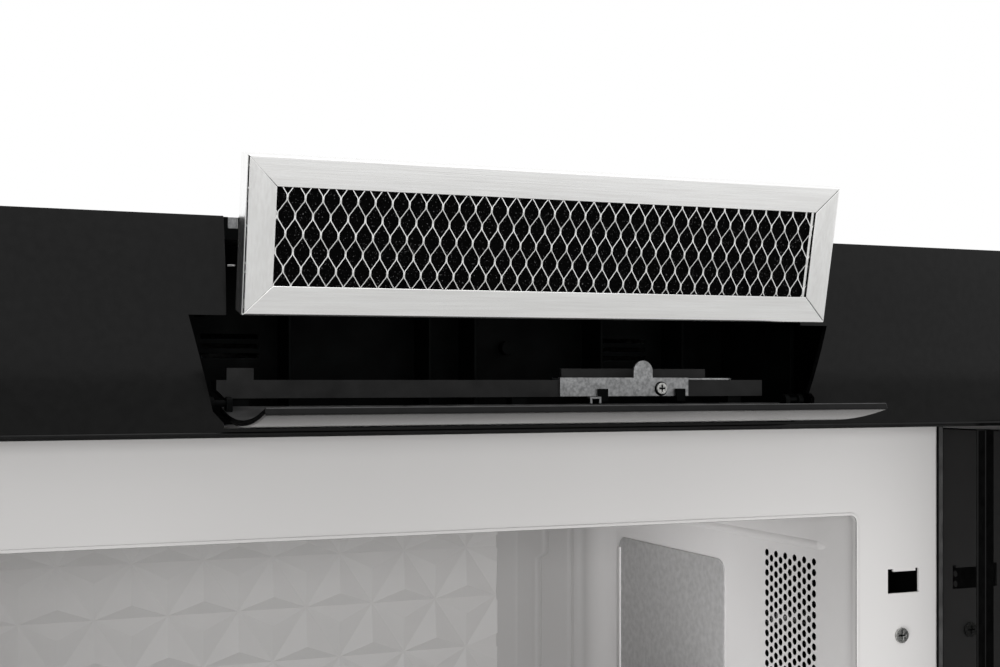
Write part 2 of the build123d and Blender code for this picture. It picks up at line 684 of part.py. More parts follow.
def blower_motor():
    motor = rod_x(33, -32, 32, BLOWER_Y, BLOWER_Z) + slab(-12, 12, -180, -160, 280, 315)
    motor &= rod_x(SCROLL_R - 1.5, -40, 40, BLOWER_Y, BLOWER_Z)
    return motor - rod_x(SHAFT_R + 1 + RUNNING, -40, 40, BLOWER_Y, BLOWER_Z)


def blower_wheels():
    """Two squirrel-cage wheels on the shaft that runs through the motor."""
    rotor = rod_x(SHAFT_R + 1, -128, 128, BLOWER_Y, BLOWER_Z)
    for side in (-1, 1):
        near, far = sorted((side * 44, side * 46))
        rotor += rod_x(WHEEL_R, near, far, BLOWER_Y, BLOWER_Z)
        near, far = sorted((side * 122, side * 124))
        ring = rod_x(WHEEL_R, near, far, BLOWER_Y, BLOWER_Z)
        rotor += ring - rod_x(42, near - 1, far + 1, BLOWER_Y, BLOWER_Z)
        near, far = sorted((side * 45, side * 123))
        for k in range(24):
            blade = Pos((near + far) / 2, 0, 47) * Box(far - near, 1.2, 9)
            rotor += Pos(0, BLOWER_Y, BLOWER_Z) * Rot(15 * k, 0, 0) * blade
    return rotor


def exhaust_adaptor():
    base = slab(-145, 145, -148, -30, CASE_TOP, CASE_TOP + 1.5)
    base += slab(-DUCT_HALF_X, DUCT_HALF_X, DUCT_FRONT, DUCT_REAR, CASE_TOP + 1.5, 441)
    base -= slab(-DUCT_HALF_X + 1.5, DUCT_HALF_X - 1.5, DUCT_FRONT + 1.5, DUCT_REAR - 1.5,
                 CASE_TOP - 1, 442)
    return base - rod_x(1.55, -130, 130, DAMPER_AXIS_Y, DAMPER_AXIS_Z)


def exhaust_damper():
    plate = slab(-124.5, 124.5, DAMPER_AXIS_Y, DUCT_REAR - 3, DAMPER_AXIS_Z - 0.6,
                 DAMPER_AXIS_Z + 0.6)
    plate += rod_x(2.4, -124.5, 124.5, DAMPER_AXIS_Y, DAMPER_AXIS_Z)
    return plate + rod_x(FLAP_PIN_R, -127, 127, DAMPER_AXIS_Y, DAMPER_AXIS_Z)


def grease_filter(x):
    """Framed metal mesh that closes one air inlet in the underside."""
    half = GREASE_W / 2
    frame = slab(x - half, x + half, GREASE_FRONT, GREASE_REAR, 0.3, 9.3)
    frame -= slab(x - half + 8, x + half - 8, GREASE_FRONT + 8, GREASE_REAR - 8, -1, 11)
    frame -= slab(x - half + 1, x + half - 1, GREASE_FRONT + 1, GREASE_REAR - 1, 1.3, 8.3)
    depth = GREASE_REAR - GREASE_FRONT
    mesh = net(GREASE_W - 2, depth - 2, 3.0, 20.0, 20.0, 2.0)
    mesh = Pos(x, (GREASE_FRONT + GREASE_REAR) / 2, 6.3) * Rot(-90, 0, 0) * mesh
    return frame, mesh


def cooktop_lamps():
    board = slab(-60, 60, -345, -315, 22.6, CAVITY_FLOOR - CAVITY_SHEET)
    for x in (-22, 22):
        board += rod_z(8, x, -330, 14, 22.6)
    return board


def cooktop_lamp_lens():
    lens = slab(-45, 45, -350, -310, 0.2, 3.2)
    return lens - slab(-43, 43, -348, -312, 1.7, 4)


NODES = {
    "wall_mount_plate": [wall_mount_plate()],
    "back_panel": [back_panel()],
    "case_top": [case_top()],
    "case_sides": case_sides(),
    "bottom_pan": [bottom_pan()],
    "front_plate": [front_plate()],
    "plate_screws": plate_screws(),
    "cavity_ceiling": [cavity_ceiling()],
    "cavity_floor": [cavity_floor()],
    "cavity_left_wall": [cavity_left_wall()],
    "cavity_right_wall": [cavity_right_wall()],
    "cavity_back_wall": [cavity_back_wall()],
    "waveguide_cover": [waveguide_cover()],
    "vent_panel": [vent_panel()],
    "filter_duct": [filter_duct()],
    "filter_guides": filter_guides(),
    "filter_ledge": [filter_ledge()],
    "filter_clip": [filter_clip()],
    "clip_screw": [clip_screw()],
    "flap_hinge_ears": hinge_ears(155.0, 158.0, FLAP_PIN_R + RUNNING),
    "filter_flap": [filter_flap()],
    "filter_frame": [filter_frame()],
    "filter_meshes": filter_meshes(),
    "charcoal_bed": [charcoal_bed()],
    "door_frame": [door_frame()],
    "door_glass": [door_glass()],
    "door_choke": [door_choke()],
    "door_screen": [door_screen()],
    "door_handle": [door_handle()],
    "latch_hooks": [latch_hooks()],
    "door_hinges": door_hinges(),
    "control_housing": [control_housing()],
    "control_glass": [control_glass()],
    "control_board": [control_board()],
    "component_shelf": [component_shelf()],
    "magnetron": [magnetron()],
    "waveguide": [waveguide()],
    "hv_transformer": hv_transformer(),
    "hv_capacitor": [hv_capacitor()],
    "fan_shroud": [fan_shroud()],
    "fan_motor": [fan_motor()],
    "fan_blade": [fan_blade()],
    "interlock_bracket": [interlock_bracket()],
    "door_switches": door_switches(),
    "cord_gland": [cord_gland()],
    "turntable_motor": [turntable_motor()],
    "drive_coupler": [drive_coupler()],
    "glass_tray": [glass_tray()],
    "roller_ring": roller_ring(),
    "blower_housing": [blower_housing()],
    "blower_motor": [blower_motor()],
    "blower_wheels": [blower_wheels()],
    "exhaust_adaptor": [exhaust_adaptor()],
    "exhaust_damper": [exhaust_damper()],
    "cooktop_lamps": [cooktop_lamps()],
    "cooktop_lamp_lens": [cooktop_lamp_lens()],
}
for side_name, filter_x in zip(("left", "right"), GREASE_X):
    filter_ring, filter_net = grease_filter(filter_x)
    NODES[f"grease_frame_{side_name}"] = [filter_ring]
    NODES[f"grease_mesh_{side_name}"] = [filter_net]

for node_name, node_shapes in NODES.items():
    save(node_name, *node_shapes)
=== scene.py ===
"""Over the range microwave: door and filter flap open, charcoal filter drawn out."""
import math

import bmesh
import bpy
from bpy.props import FloatProperty, FloatVectorProperty, IntProperty, PointerProperty
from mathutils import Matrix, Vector


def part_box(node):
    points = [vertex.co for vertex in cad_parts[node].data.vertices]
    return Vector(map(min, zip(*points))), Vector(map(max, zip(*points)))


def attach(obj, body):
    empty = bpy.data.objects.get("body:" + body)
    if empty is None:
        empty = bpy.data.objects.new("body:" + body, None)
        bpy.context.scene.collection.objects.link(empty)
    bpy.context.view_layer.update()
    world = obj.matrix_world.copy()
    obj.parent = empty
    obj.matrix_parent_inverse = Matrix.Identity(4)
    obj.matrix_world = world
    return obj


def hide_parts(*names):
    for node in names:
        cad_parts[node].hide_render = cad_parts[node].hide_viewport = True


bl_info = {
    "name": "Over the Range Microwave",
    "version": (1, 0, 0),
    "blender": (4, 5, 0),
    "location": "View3D > Sidebar > Microwave",
    "description": "Builds an over the range microwave with its charcoal filter drawn out",
    "category": "Object",
}

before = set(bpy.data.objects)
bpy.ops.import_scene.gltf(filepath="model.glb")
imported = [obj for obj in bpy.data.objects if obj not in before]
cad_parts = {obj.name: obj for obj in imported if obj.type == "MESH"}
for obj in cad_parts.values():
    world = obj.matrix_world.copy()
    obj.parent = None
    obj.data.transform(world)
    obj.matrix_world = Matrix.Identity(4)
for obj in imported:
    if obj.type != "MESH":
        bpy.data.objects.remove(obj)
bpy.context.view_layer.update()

MM = 0.001


# ---- Properties ------------------------------------------------------------------------

def length(name, description, default):
    return FloatProperty(name=name, description=description, default=default, unit="LENGTH", precision=5)


def colour(name, description, default):
    return FloatVectorProperty(
        name=name, description=description, default=default, subtype="COLOR", size=3, min=0, max=1
    )


class MicrowaveSizes(bpy.types.PropertyGroup):
    panel_radius: length("Panel radius", "Radius of the vent panel's front", 0.190)
    panel_wall: length("Panel wall", "Thickness of the vent panel", 0.003)
    flap_wall: length("Flap wall", "Thickness of the filter flap", 0.0032)
    rail_width: length("Filter rail", "Width of the filter's channel frame", 0.013)
    channel_wall: length("Channel wall", "Sheet thickness of the filter's frame", 0.0006)
    diamond_width: length("Diamond width", "Width of one gap in the expanded metal", 0.00783)
    diamond_height: length("Diamond height", "Height of one gap in the expanded metal", 0.0155)
    strand: length("Strand", "Width of a strand of the expanded metal", 0.00046)
    relief_side: length("Relief side", "Side of one triangle of the cavity's back wall", 0.0505)
    relief_row: length("Relief row", "Height of one row of triangles", 0.0384)
    relief_depth: length("Relief depth", "Height of the facets of the back wall", 0.0032)
    arc_steps: IntProperty(name="Arc steps", description="Faces along a curved panel", default=48, min=8)


class MicrowaveColours(bpy.types.PropertyGroup):
    gloss_black: colour("Gloss black", "Vent panel, flap and control column", (0.0022, 0.0022, 0.0022))
    # The matte black is set very dark and dull partly as painted shade of the duct's recess; elsewhere it is
    # the parts' own black
    matte_black: colour("Matte black", "Filter duct, guides and ledge", (0.0008, 0.0010, 0.0010))
    plate_grey: colour("Plate grey", "Powder coat round the cavity", (0.585, 0.573, 0.566))
    cavity_grey: colour("Cavity grey", "Enamel of the cavity's walls", (0.566, 0.555, 0.549))
    aluminium: colour("Aluminium", "Frame and mesh of the filters", (0.970, 0.965, 0.955))
    galvanised: colour("Galvanised", "Zinc coated sheet", (0.300, 0.303, 0.306))
    mica: colour("Mica", "Waveguide cover", (0.483, 0.478, 0.478))


class MicrowaveStage(bpy.types.PropertyGroup):
    camera_at: FloatVectorProperty(
        name="Camera", description="Place of the camera", default=(-0.273, -1.023, 0.1455), subtype="XYZ"
    )
    camera_turn: FloatProperty(
        name="Camera turn", description="How far the camera looks to the right", default=math.radians(22.4),
        subtype="ANGLE",
    )
    lens: FloatProperty(name="Lens", description="Focal length in millimetres", default=49.9)
    horizon_shift: FloatProperty(
        name="Horizon shift", description="Vertical shift of the lens", default=0.0465
    )
    floor_height: length("Floor", "Height of the floor", -1.4)
    ambient: FloatProperty(name="Ambient", description="Brightness of the surroundings", default=0.62)


# ---- Modelling helpers -----------------------------------------------------------------

def deselect():
    bpy.ops.object.select_all(action="DESELECT")


def take(*objects):
    """Leave only these objects selected, the first one active."""
    if bpy.context.object and bpy.context.object.mode != "OBJECT":
        bpy.ops.object.mode_set(mode="OBJECT")
    deselect()
    for obj in objects:
        obj.select_set(True)
    bpy.context.view_layer.objects.active = objects[0]


def settle(obj):
    """Put an object's place, turn and scale into its mesh."""
    take(obj)
    bpy.ops.object.transform_apply(location=True, rotation=True, scale=True)
    return obj


def moved(obj, place, turn=(0, 0, 0)):
    """Turn an object about the origin, shift it, and put both into its mesh."""
    obj.location = place
    obj.rotation_euler = turn
    return settle(obj)


def named(name):
    obj = bpy.context.object
    obj.name = name
    obj.data.name = name
    return obj


def block(name, low, high):
    """Cube primitive between two corners."""
    low, high = Vector(low), Vector(high)
    deselect()
    bpy.ops.mesh.primitive_cube_add(size=1, location=(low + high) / 2)
    obj = named(name)
    obj.scale = high - low
    return settle(obj)


def plane(name, place, scale, turn=(0, 0, 0)):
    """Plane primitive, scaled along its own sides and turned."""
    deselect()
    bpy.ops.mesh.primitive_plane_add(size=1, location=place, rotation=turn)
    obj = named(name)
    obj.scale = scale
    return settle(obj)


def rod(name, radius, start, end, sides):
    """Cylinder primitive from one point to another."""
    start, end = Vector(start), Vector(end)
    axis = end - start
    deselect()
    bpy.ops.mesh.primitive_cylinder_add(
        vertices=sides, radius=radius, depth=axis.length, location=(start + end) / 2,
        rotation=axis.to_track_quat("Z", "Y").to_euler(),
    )
    return settle(named(name))


def pick(obj, test, kind="FACE"):
    """Enter edit mode with only the parts selected that the test accepts."""
    take(obj)
    bpy.ops.object.mode_set(mode="EDIT")
    bpy.ops.mesh.select_mode(type=kind)
    bpy.ops.mesh.select_all(action="DESELECT")
    mesh = bmesh.from_edit_mesh(obj.data)
    parts = {"VERT": mesh.verts, "EDGE": mesh.edges, "FACE": mesh.faces}[kind]
    for part in parts:
        part.select_set(bool(test(part)))
    mesh.select_flush_mode()
    bmesh.update_edit_mesh(obj.data)


def leave():
    bpy.ops.object.mode_set(mode="OBJECT")


def middle(part):
    """Middle of an edge or a face."""
    return sum((v.co for v in part.verts), Vector()) / len(part.verts)


def everything(part):
    return True


def shift_points(obj, test, step):
    pick(obj, test, "VERT")
    bpy.ops.transform.translate(value=step)
    leave()


def scale_points(obj, test, share, centre=(0, 0, 0)):
    pick(obj, test, "VERT")
    bpy.ops.transform.resize(value=share, center_override=centre)
    leave()


def round_edges(obj, test, offset, segments):
    pick(obj, test, "EDGE")
    bpy.ops.mesh.bevel(offset=offset, segments=segments, affect="EDGES")
    leave()


def window(left, right, foot, top):
    """Planes, each a point and a normal, that bound an upright rectangle."""
    return (
        ((left, 0, 0), (-1, 0, 0)), ((right, 0, 0), (1, 0, 0)),
        ((0, 0, foot), (0, 0, -1)), ((0, 0, top), (0, 0, 1)),
    )


def trim(obj, planes, fill=True):
    """Cut away what lies past each plane."""
    for point, normal in planes:
        pick(obj, everything)
        bpy.ops.mesh.bisect(plane_co=point, plane_no=normal, clear_outer=True, use_fill=fill)
        leave()


def tidy_normals(obj):
    pick(obj, everything, "VERT")
    bpy.ops.mesh.remove_doubles(threshold=1e-6)
    bpy.ops.mesh.normals_make_consistent(inside=False)
    leave()


def modify(obj, kind, **settings):
    """Add one modifier and apply it."""
    modifier = obj.modifiers.new(kind.title(), kind)
    for name, value in settings.items():
        setattr(modifier, name, value)
    take(obj)
    bpy.ops.object.modifier_apply(modifier=modifier.name)
    return obj


def repeat(obj, count, step):
    """Row of copies, each shifted by the step from the one before."""
    return modify(
        obj, "ARRAY", count=count, use_relative_offset=False, use_constant_offset=True,
        constant_offset_displace=step,
    )


def bevel(obj, width, segments=3, angle=35):
    return modify(
        obj, "BEVEL", width=width, segments=segments, limit_method="ANGLE",
        angle_limit=math.radians(angle), use_clamp_overlap=True,
    )


def cut(obj, *cutters):
    """Take the cutters' shapes out of an object."""
    for cutter in cutters:
        modify(obj, "BOOLEAN", operation="DIFFERENCE", solver="EXACT", object=cutter)
        bpy.data.objects.remove(cutter, do_unlink=True)
    return obj


def joined(name, objects):
    take(*objects)
    bpy.ops.object.join()
    return named(name)


def smooth(obj, angle=32):
    """Smooth shading in which the large faces keep their own direction."""
    take(obj)
    bpy.ops.object.shade_smooth_by_angle(angle=math.radians(angle))
    return modify(obj, "WEIGHTED_NORMAL", keep_sharp=True, weight=80)


def softened(obj, width, segments=2):
    return smooth(bevel(obj, width, segments))


def soft_block(name, low, high, width, segments=2):
    """Block between two corners with its edges rounded."""
    return softened(block(name, low, high), width, segments)


def fit_out(obj, body, finish, slot, *nodes):
    """Give a piece its material and its body, and hide the CAD nodes that it stands for."""
    obj.data.materials.clear()
    obj.data.materials.append(palette()[finish])
    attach(obj, body)
    if nodes:
        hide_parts(*nodes)
    return obj


def second_finish(obj, finish, test):
    """Give the faces that the test accepts another material."""
    obj.data.materials.append(palette()[finish])
    pick(obj, test)
    obj.active_material_index = 1
    bpy.ops.object.material_slot_assign()
    leave()


def refined(node, name, width, segments=2, angle=35):
    """Copy of a CAD node with its triangles merged into faces and its edges rounded."""
    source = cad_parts[node]
    obj = source.copy()
    obj.data = source.data.copy()
    bpy.context.collection.objects.link(obj)
    obj.parent = None
    obj.matrix_world.identity()
    for key in list(obj.keys()):
        del obj[key]
    obj.name = name
    obj.data.name = name
    pick(obj, everything, "VERT")
    bpy.ops.mesh.remove_doubles(threshold=1e-6)
    bpy.ops.mesh.dissolve_limited(angle_limit=math.radians(0.5))
    leave()
    return smooth(bevel(obj, width, segments, angle))


def dress(node, name, body, finish, slot, width, segments=2, angle=35):
    """Refined copy of one CAD node, fitted out in its place; the bevel is in millimetres."""
    return fit_out(refined(node, name, width * MM, segments, angle), body, finish, slot, node)


def painted_cross_shade(name, places, front, span, width):
    """Painted shade at the bottoms of cross recesses, at these X and Z places."""
    bars = []
    back = front + 0.3 * MM
    for x, z in places:
        for half_x, half_z in ((span / 2, width / 2), (width / 2, span / 2)):
            bar = block("bar", (x - half_x, front, z - half_z), (x + half_x, back, z + half_z))
            bars.append(bevel(bar, 0.05 * MM, 1))
    return joined(name, bars)


def repaint(finish, *nodes):
    """Give CAD nodes another material."""
    for node in nodes:
        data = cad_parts[node].data
        data.materials.clear()
        data.materials.append(palette()[finish])


def arc_shell(name, low_x, high_x, radius, wall, centre, start, end, steps):
    """Curved plate about an axis along X; angles run up from the axis' front side."""
    centre_y, centre_z = centre
    reach = radius - wall / 2
    place = (
        (low_x + high_x) / 2, centre_y - reach * math.cos(start), centre_z + reach * math.sin(start)
    )
    obj = plane(name, place, (high_x - low_x, wall, 1), (math.pi - start, 0, 0))
    pick(obj, everything)
    bpy.ops.mesh.spin(
        steps=steps, angle=end - start, center=(0, centre_y, centre_z), axis=(1, 0, 0)
    )
    leave()
    tidy_normals(obj)
    return obj


# ---- Materials -------------------------------------------------------------------------

class Finish:
    """Material whose colour, roughness and bump are varied by procedural textures.

    A pattern is what texture takes: its scale, its detail and its stretch.
    """

    def __init__(self, name, base, roughness, metallic=0.0, **sockets):
        self.material = bpy.data.materials.new(name)
        self.material.use_nodes = True
        self.nodes = self.material.node_tree.nodes
        self.links = self.material.node_tree.links
        self.shader = self.nodes["Principled BSDF"]
        self.place = self.nodes.new("ShaderNodeTexCoord").outputs["Object"]
        self.base = base
        self.set("Base Color", (*base, 1))
        self.set("Roughness", roughness)
        self.set("Metallic", metallic)
        for socket, value in sockets.items():
            self.set(socket.replace("_", " "), value)

    def set(self, socket, value):
        self.shader.inputs[socket].default_value = value

    def texture(self, scale, detail=4, stretch=(1, 1, 1), kind="Noise"):
        """Noise or Voronoi value at this many features to the metre."""
        mapping = self.nodes.new("ShaderNodeMapping")
        mapping.inputs["Scale"].default_value = stretch
        self.links.new(self.place, mapping.inputs["Vector"])
        texture = self.nodes.new("ShaderNodeTex" + kind)
        texture.inputs["Scale"].default_value = scale
        self.links.new(mapping.outputs["Vector"], texture.inputs["Vector"])
        if kind == "Noise":
            texture.inputs["Detail"].default_value = detail
            return texture.outputs["Fac"]
        return texture.outputs["Distance"]

    def ramp(self, value, low, high, dark, light):
        """Colour that runs from dark to light while the value runs from low to high."""
        ramp = self.nodes.new("ShaderNodeValToRGB")
        ramp.color_ramp.elements[0].position = low
        ramp.color_ramp.elements[1].position = high
        ramp.color_ramp.elements[0].color = (*dark, 1)
        ramp.color_ramp.elements[1].color = (*light, 1)
        self.links.new(value, ramp.inputs["Fac"])
        return ramp.outputs["Color"]

    def along(self, axis, start, end):
        """Value that runs from 0 to 1 between two places along an axis."""
        axes = self.nodes.new("ShaderNodeSeparateXYZ")
        self.links.new(self.place, axes.inputs["Vector"])
        spread = self.nodes.new("ShaderNodeMapRange")
        spread.inputs["From Min"].default_value = start
        spread.inputs["From Max"].default_value = end
        self.links.new(axes.outputs[axis], spread.inputs["Value"])
        return spread.outputs["Result"]

    def mottle(self, share, *pattern):
        """Patches that are darker and lighter by this share."""
        value = self.texture(*pattern)
        dark = [c * (1 - share) for c in self.base]
        light = [min(c * (1 + share), 1) for c in self.base]
        self.links.new(self.ramp(value, 0.35, 0.65, dark, light), self.shader.inputs["Base Color"])
        return self

    def gloss(self, shiny, dull, *pattern):
        """Roughness that runs from shiny to dull."""
        value = self.texture(*pattern)
        spread = self.nodes.new("ShaderNodeMapRange")
        spread.inputs["From Min"].default_value = 0.3
        spread.inputs["From Max"].default_value = 0.7
        spread.inputs["To Min"].default_value = shiny
        spread.inputs["To Max"].default_value = dull
        self.links.new(value, spread.inputs["Value"])
        self.links.new(spread.outputs["Result"], self.shader.inputs["Roughness"])
        return self

    def bump(self, height, strength, *pattern, **kind):
        """Fine grain of this height."""
        value = self.texture(*pattern, **kind)
        bump = self.nodes.new("ShaderNodeBump")
        bump.inputs["Distance"].default_value = height
        bump.inputs["Strength"].default_value = strength
        self.links.new(value, bump.inputs["Height"])
        self.links.new(bump.outputs["Normal"], self.shader.inputs["Normal"])
        return self


def gloss_black_plastic(name, tint, roughness):
    """Moulded gloss plastic with faint waviness and fine dust."""
    finish = Finish(name, tint, roughness[0], IOR=1.45, Specular_IOR_Level=0.22)
    finish.mottle(0.35, 240, 8)
    finish.gloss(*roughness, 35, 6)
    return finish.bump(0.0002, 0.2, 9, 1).material


def matte_black_plastic(name, tint, shine):
    finish = Finish(name, tint, 0.45, Specular_IOR_Level=shine)
    finish.mottle(0.4, 90, 6)
    finish.gloss(0.38, 0.6, 60)
    return finish.bump(0.00006, 0.5, 1800, 2).material


def powder_coat(name, tint, grain=900, roughness=(0.30, 0.42)):
    """Sprayed enamel with a fine orange peel."""
    finish = Finish(name, tint, roughness[0], Coat_Weight=0.10, Coat_Roughness=0.25)
    finish.mottle(0.02, 5, 5)
    finish.gloss(*roughness, 24)
    return finish.bump(0.00004, 0.35, grain, 2).material


# Painted shade and light in the cavity's enamel: a dark corner and rib grey, a darker front and a lighter
# depth on the side walls, and black hole insides
CORNER_SHADE_GREY = (0.430, 0.421, 0.417)
SIDE_FRONT_SHADE_GREY = (0.610, 0.598, 0.593)
SIDE_LIT_GREY = (0.860, 0.845, 0.842)
HOLE_SHADE_BLACK = (0.004, 0.004, 0.004, 1)


def cavity_enamel(name):
    finish = Finish(name, CORNER_SHADE_GREY, 0.32, Coat_Weight=0.10, Coat_Roughness=0.25)
    finish.gloss(0.28, 0.40, 24)
    return finish.bump(0.00004, 0.35, 500, 2)


def corner_enamel_painted_shade():
    """Enamel with painted shade: dark across the ribs, getting lighter round the corner to the right wall."""
    finish = cavity_enamel("cavity_corner_enamel")
    corner_start, corner_end = 0.212, 0.223
    tint = finish.ramp(finish.along("X", corner_start, corner_end), 0, 1, CORNER_SHADE_GREY, SIDE_LIT_GREY)
    finish.links.new(tint, finish.shader.inputs["Base Color"])
    return finish.material


def side_enamel_painted_shade():
    """Enamel of the side walls with painted light and shade: lighter in the depth, darker towards the front,
    and painted black inside the air holes.
    """
    finish = cavity_enamel("cavity_side_enamel")
    front, deep = -0.32, -0.22
    wall_face, hole_inside = 0.22404, 0.22412
    # Painted light and shade: darker near the front opening, lighter deeper in
    tint = finish.ramp(finish.along("Y", front, deep), 0, 1, SIDE_FRONT_SHADE_GREY, SIDE_LIT_GREY)
    # Painted shade: the faces inside the air holes turn black
    mix = finish.nodes.new("ShaderNodeMix")
    mix.data_type = "RGBA"
    finish.links.new(finish.along("X", wall_face, hole_inside), mix.inputs["Factor"])
    finish.links.new(tint, mix.inputs["A"])
    mix.inputs["B"].default_value = HOLE_SHADE_BLACK
    finish.links.new(mix.outputs["Result"], finish.shader.inputs["Base Color"])
    return finish.material


def milled_aluminium(name, tint, upright=False, roughness=(0.15, 0.26)):
    """Rolled metal with fine lines along X, or along Z."""
    def drawn(share):
        return (1, 1, share) if upright else (share, 1, 1)

    finish = Finish(name, tint, roughness[0], 1.0)
    finish.mottle(0.04, 900, 6, drawn(0.03))
    finish.gloss(*roughness, 160, 5, drawn(0.1))
    return finish.bump(0.00003, 0.4, 2600, 3, drawn(0.012)).material


def zinc_sheet(tint):
    """Galvanised sheet with a fine crystal grain."""
    finish = Finish("zinc_sheet", tint, 0.38, 1.0)
    finish.mottle(0.24, 620, 6)
    finish.gloss(0.26, 0.52, 420, 6)
    return finish.bump(0.00004, 0.4, 1500, 3).material


def bright_zinc():
    finish = Finish("bright_zinc", (0.48, 0.48, 0.465), 0.25, 1.0)
    finish.mottle(0.30, 900, 5)
    return finish.gloss(0.18, 0.38, 500).material


def charcoal():
    """Packed granules, with painted glints: small bright specks in the colour."""
    finish = Finish("charcoal", (0.001, 0.001, 0.001), 0.6, Specular_IOR_Level=0.02)
    # Small bright specks: painted glints of the granules' facets
    facets = finish.ramp(finish.texture(1500, 2), 0.66, 0.72, (0.0012,) * 3, (0.11,) * 3)
    finish.links.new(facets, finish.shader.inputs["Base Color"])
    finish.gloss(0.3, 0.8, 700)
    return finish.bump(0.0006, 0.9, 900, kind="Voronoi").material


def mica_sheet(tint):
    """Pressed flakes, faintly streaked."""
    finish = Finish("mica_sheet", tint, 0.5)
    finish.mottle(0.10, 220, 8)
    finish.gloss(0.42, 0.6, 90)
    return finish.bump(0.00008, 0.4, 240, 6).material


def clear_glass(name, tint, roughness=0.03):
    finish = Finish(name, tint, roughness, IOR=1.5, Transmission_Weight=1.0)
    return finish.gloss(roughness, roughness + 0.05, 30).material


def plain_plastic(name, tint, roughness=(0.35, 0.5)):
    finish = Finish(name, tint, roughness[0])
    finish.mottle(0.08, 70, 5)
    finish.gloss(*roughness, 50)
    return finish.bump(0.00003, 0.4, 1200, 2).material


def gloss_black_glass():
    finish = Finish("black_glass", (0.004, 0.004, 0.0045), 0.03, IOR=1.5)
    finish.mottle(0.3, 200, 6)
    return finish.gloss(0.02, 0.05, 20).material


MATERIALS = {}


def palette():
    """The materials of all pieces, made once."""
    if not MATERIALS:
        tints = bpy.context.scene.microwave_colours
        MATERIALS.update(
            gloss_black=gloss_black_plastic("gloss_black_plastic", tints.gloss_black, (0.15, 0.19)),
            polished_black=gloss_black_plastic("polished_black_plastic", tints.gloss_black, (0.02, 0.04)),
            # matte_black and moulded_black are one black plastic: the darker, duller copy carries painted
            # shade, the lighter, shinier one is how it looks lit
            matte_black=matte_black_plastic("matte_black_plastic", tints.matte_black, 0.05),
            moulded_black=matte_black_plastic("moulded_black_plastic", (0.0065,) * 3, 0.26),
            satin_black=matte_black_plastic("satin_black_plastic", (0.040,) * 3, 0.3),
            plate=powder_coat("plate_coat", tints.plate_grey),
            cavity=powder_coat("cavity_enamel", tints.cavity_grey, 500, (0.28, 0.40)),
            cavity_corner=corner_enamel_painted_shade(),
            cavity_side=side_enamel_painted_shade(),
            case=powder_coat("case_coat", (0.012, 0.012, 0.013), 1200, (0.35, 0.5)),
            aluminium=milled_aluminium("milled_aluminium", tints.aluminium),
            aluminium_upright=milled_aluminium("milled_aluminium_upright", tints.aluminium, True),
            mesh=milled_aluminium("expanded_aluminium", (0.96, 0.96, 0.95), roughness=(0.2, 0.35)),
            brushed=milled_aluminium("brushed_steel", (0.42, 0.42, 0.43), True, (0.25, 0.4)),
            zinc=zinc_sheet(tints.galvanised),
            bright_zinc=bright_zinc(),
            charcoal=charcoal(),
            mica=mica_sheet(tints.mica),
            black_glass=gloss_black_glass(),
            clear_glass=clear_glass("tray_glass", (0.90, 0.95, 0.93)),
            lens=clear_glass("lens_glass", (0.95, 0.95, 0.92), 0.35),
            white=plain_plastic("white_plastic", (0.62, 0.61, 0.58)),
            board=plain_plastic("circuit_board", (0.02, 0.10, 0.045)),
            iron=plain_plastic("varnished_iron", (0.06, 0.06, 0.065), (0.3, 0.5)),
            rubber=plain_plastic("rubber", (0.012, 0.012, 0.012), (0.6, 0.8)),
        )
    return MATERIALS


# ---- Operators -------------------------------------------------------------------------

class MicrowaveStep(bpy.types.Operator):
    """One step of the build"""
    bl_options = {"REGISTER", "UNDO"}

    def execute(self, context):
        self.build(context.scene.microwave_sizes)
        return {"FINISHED"}


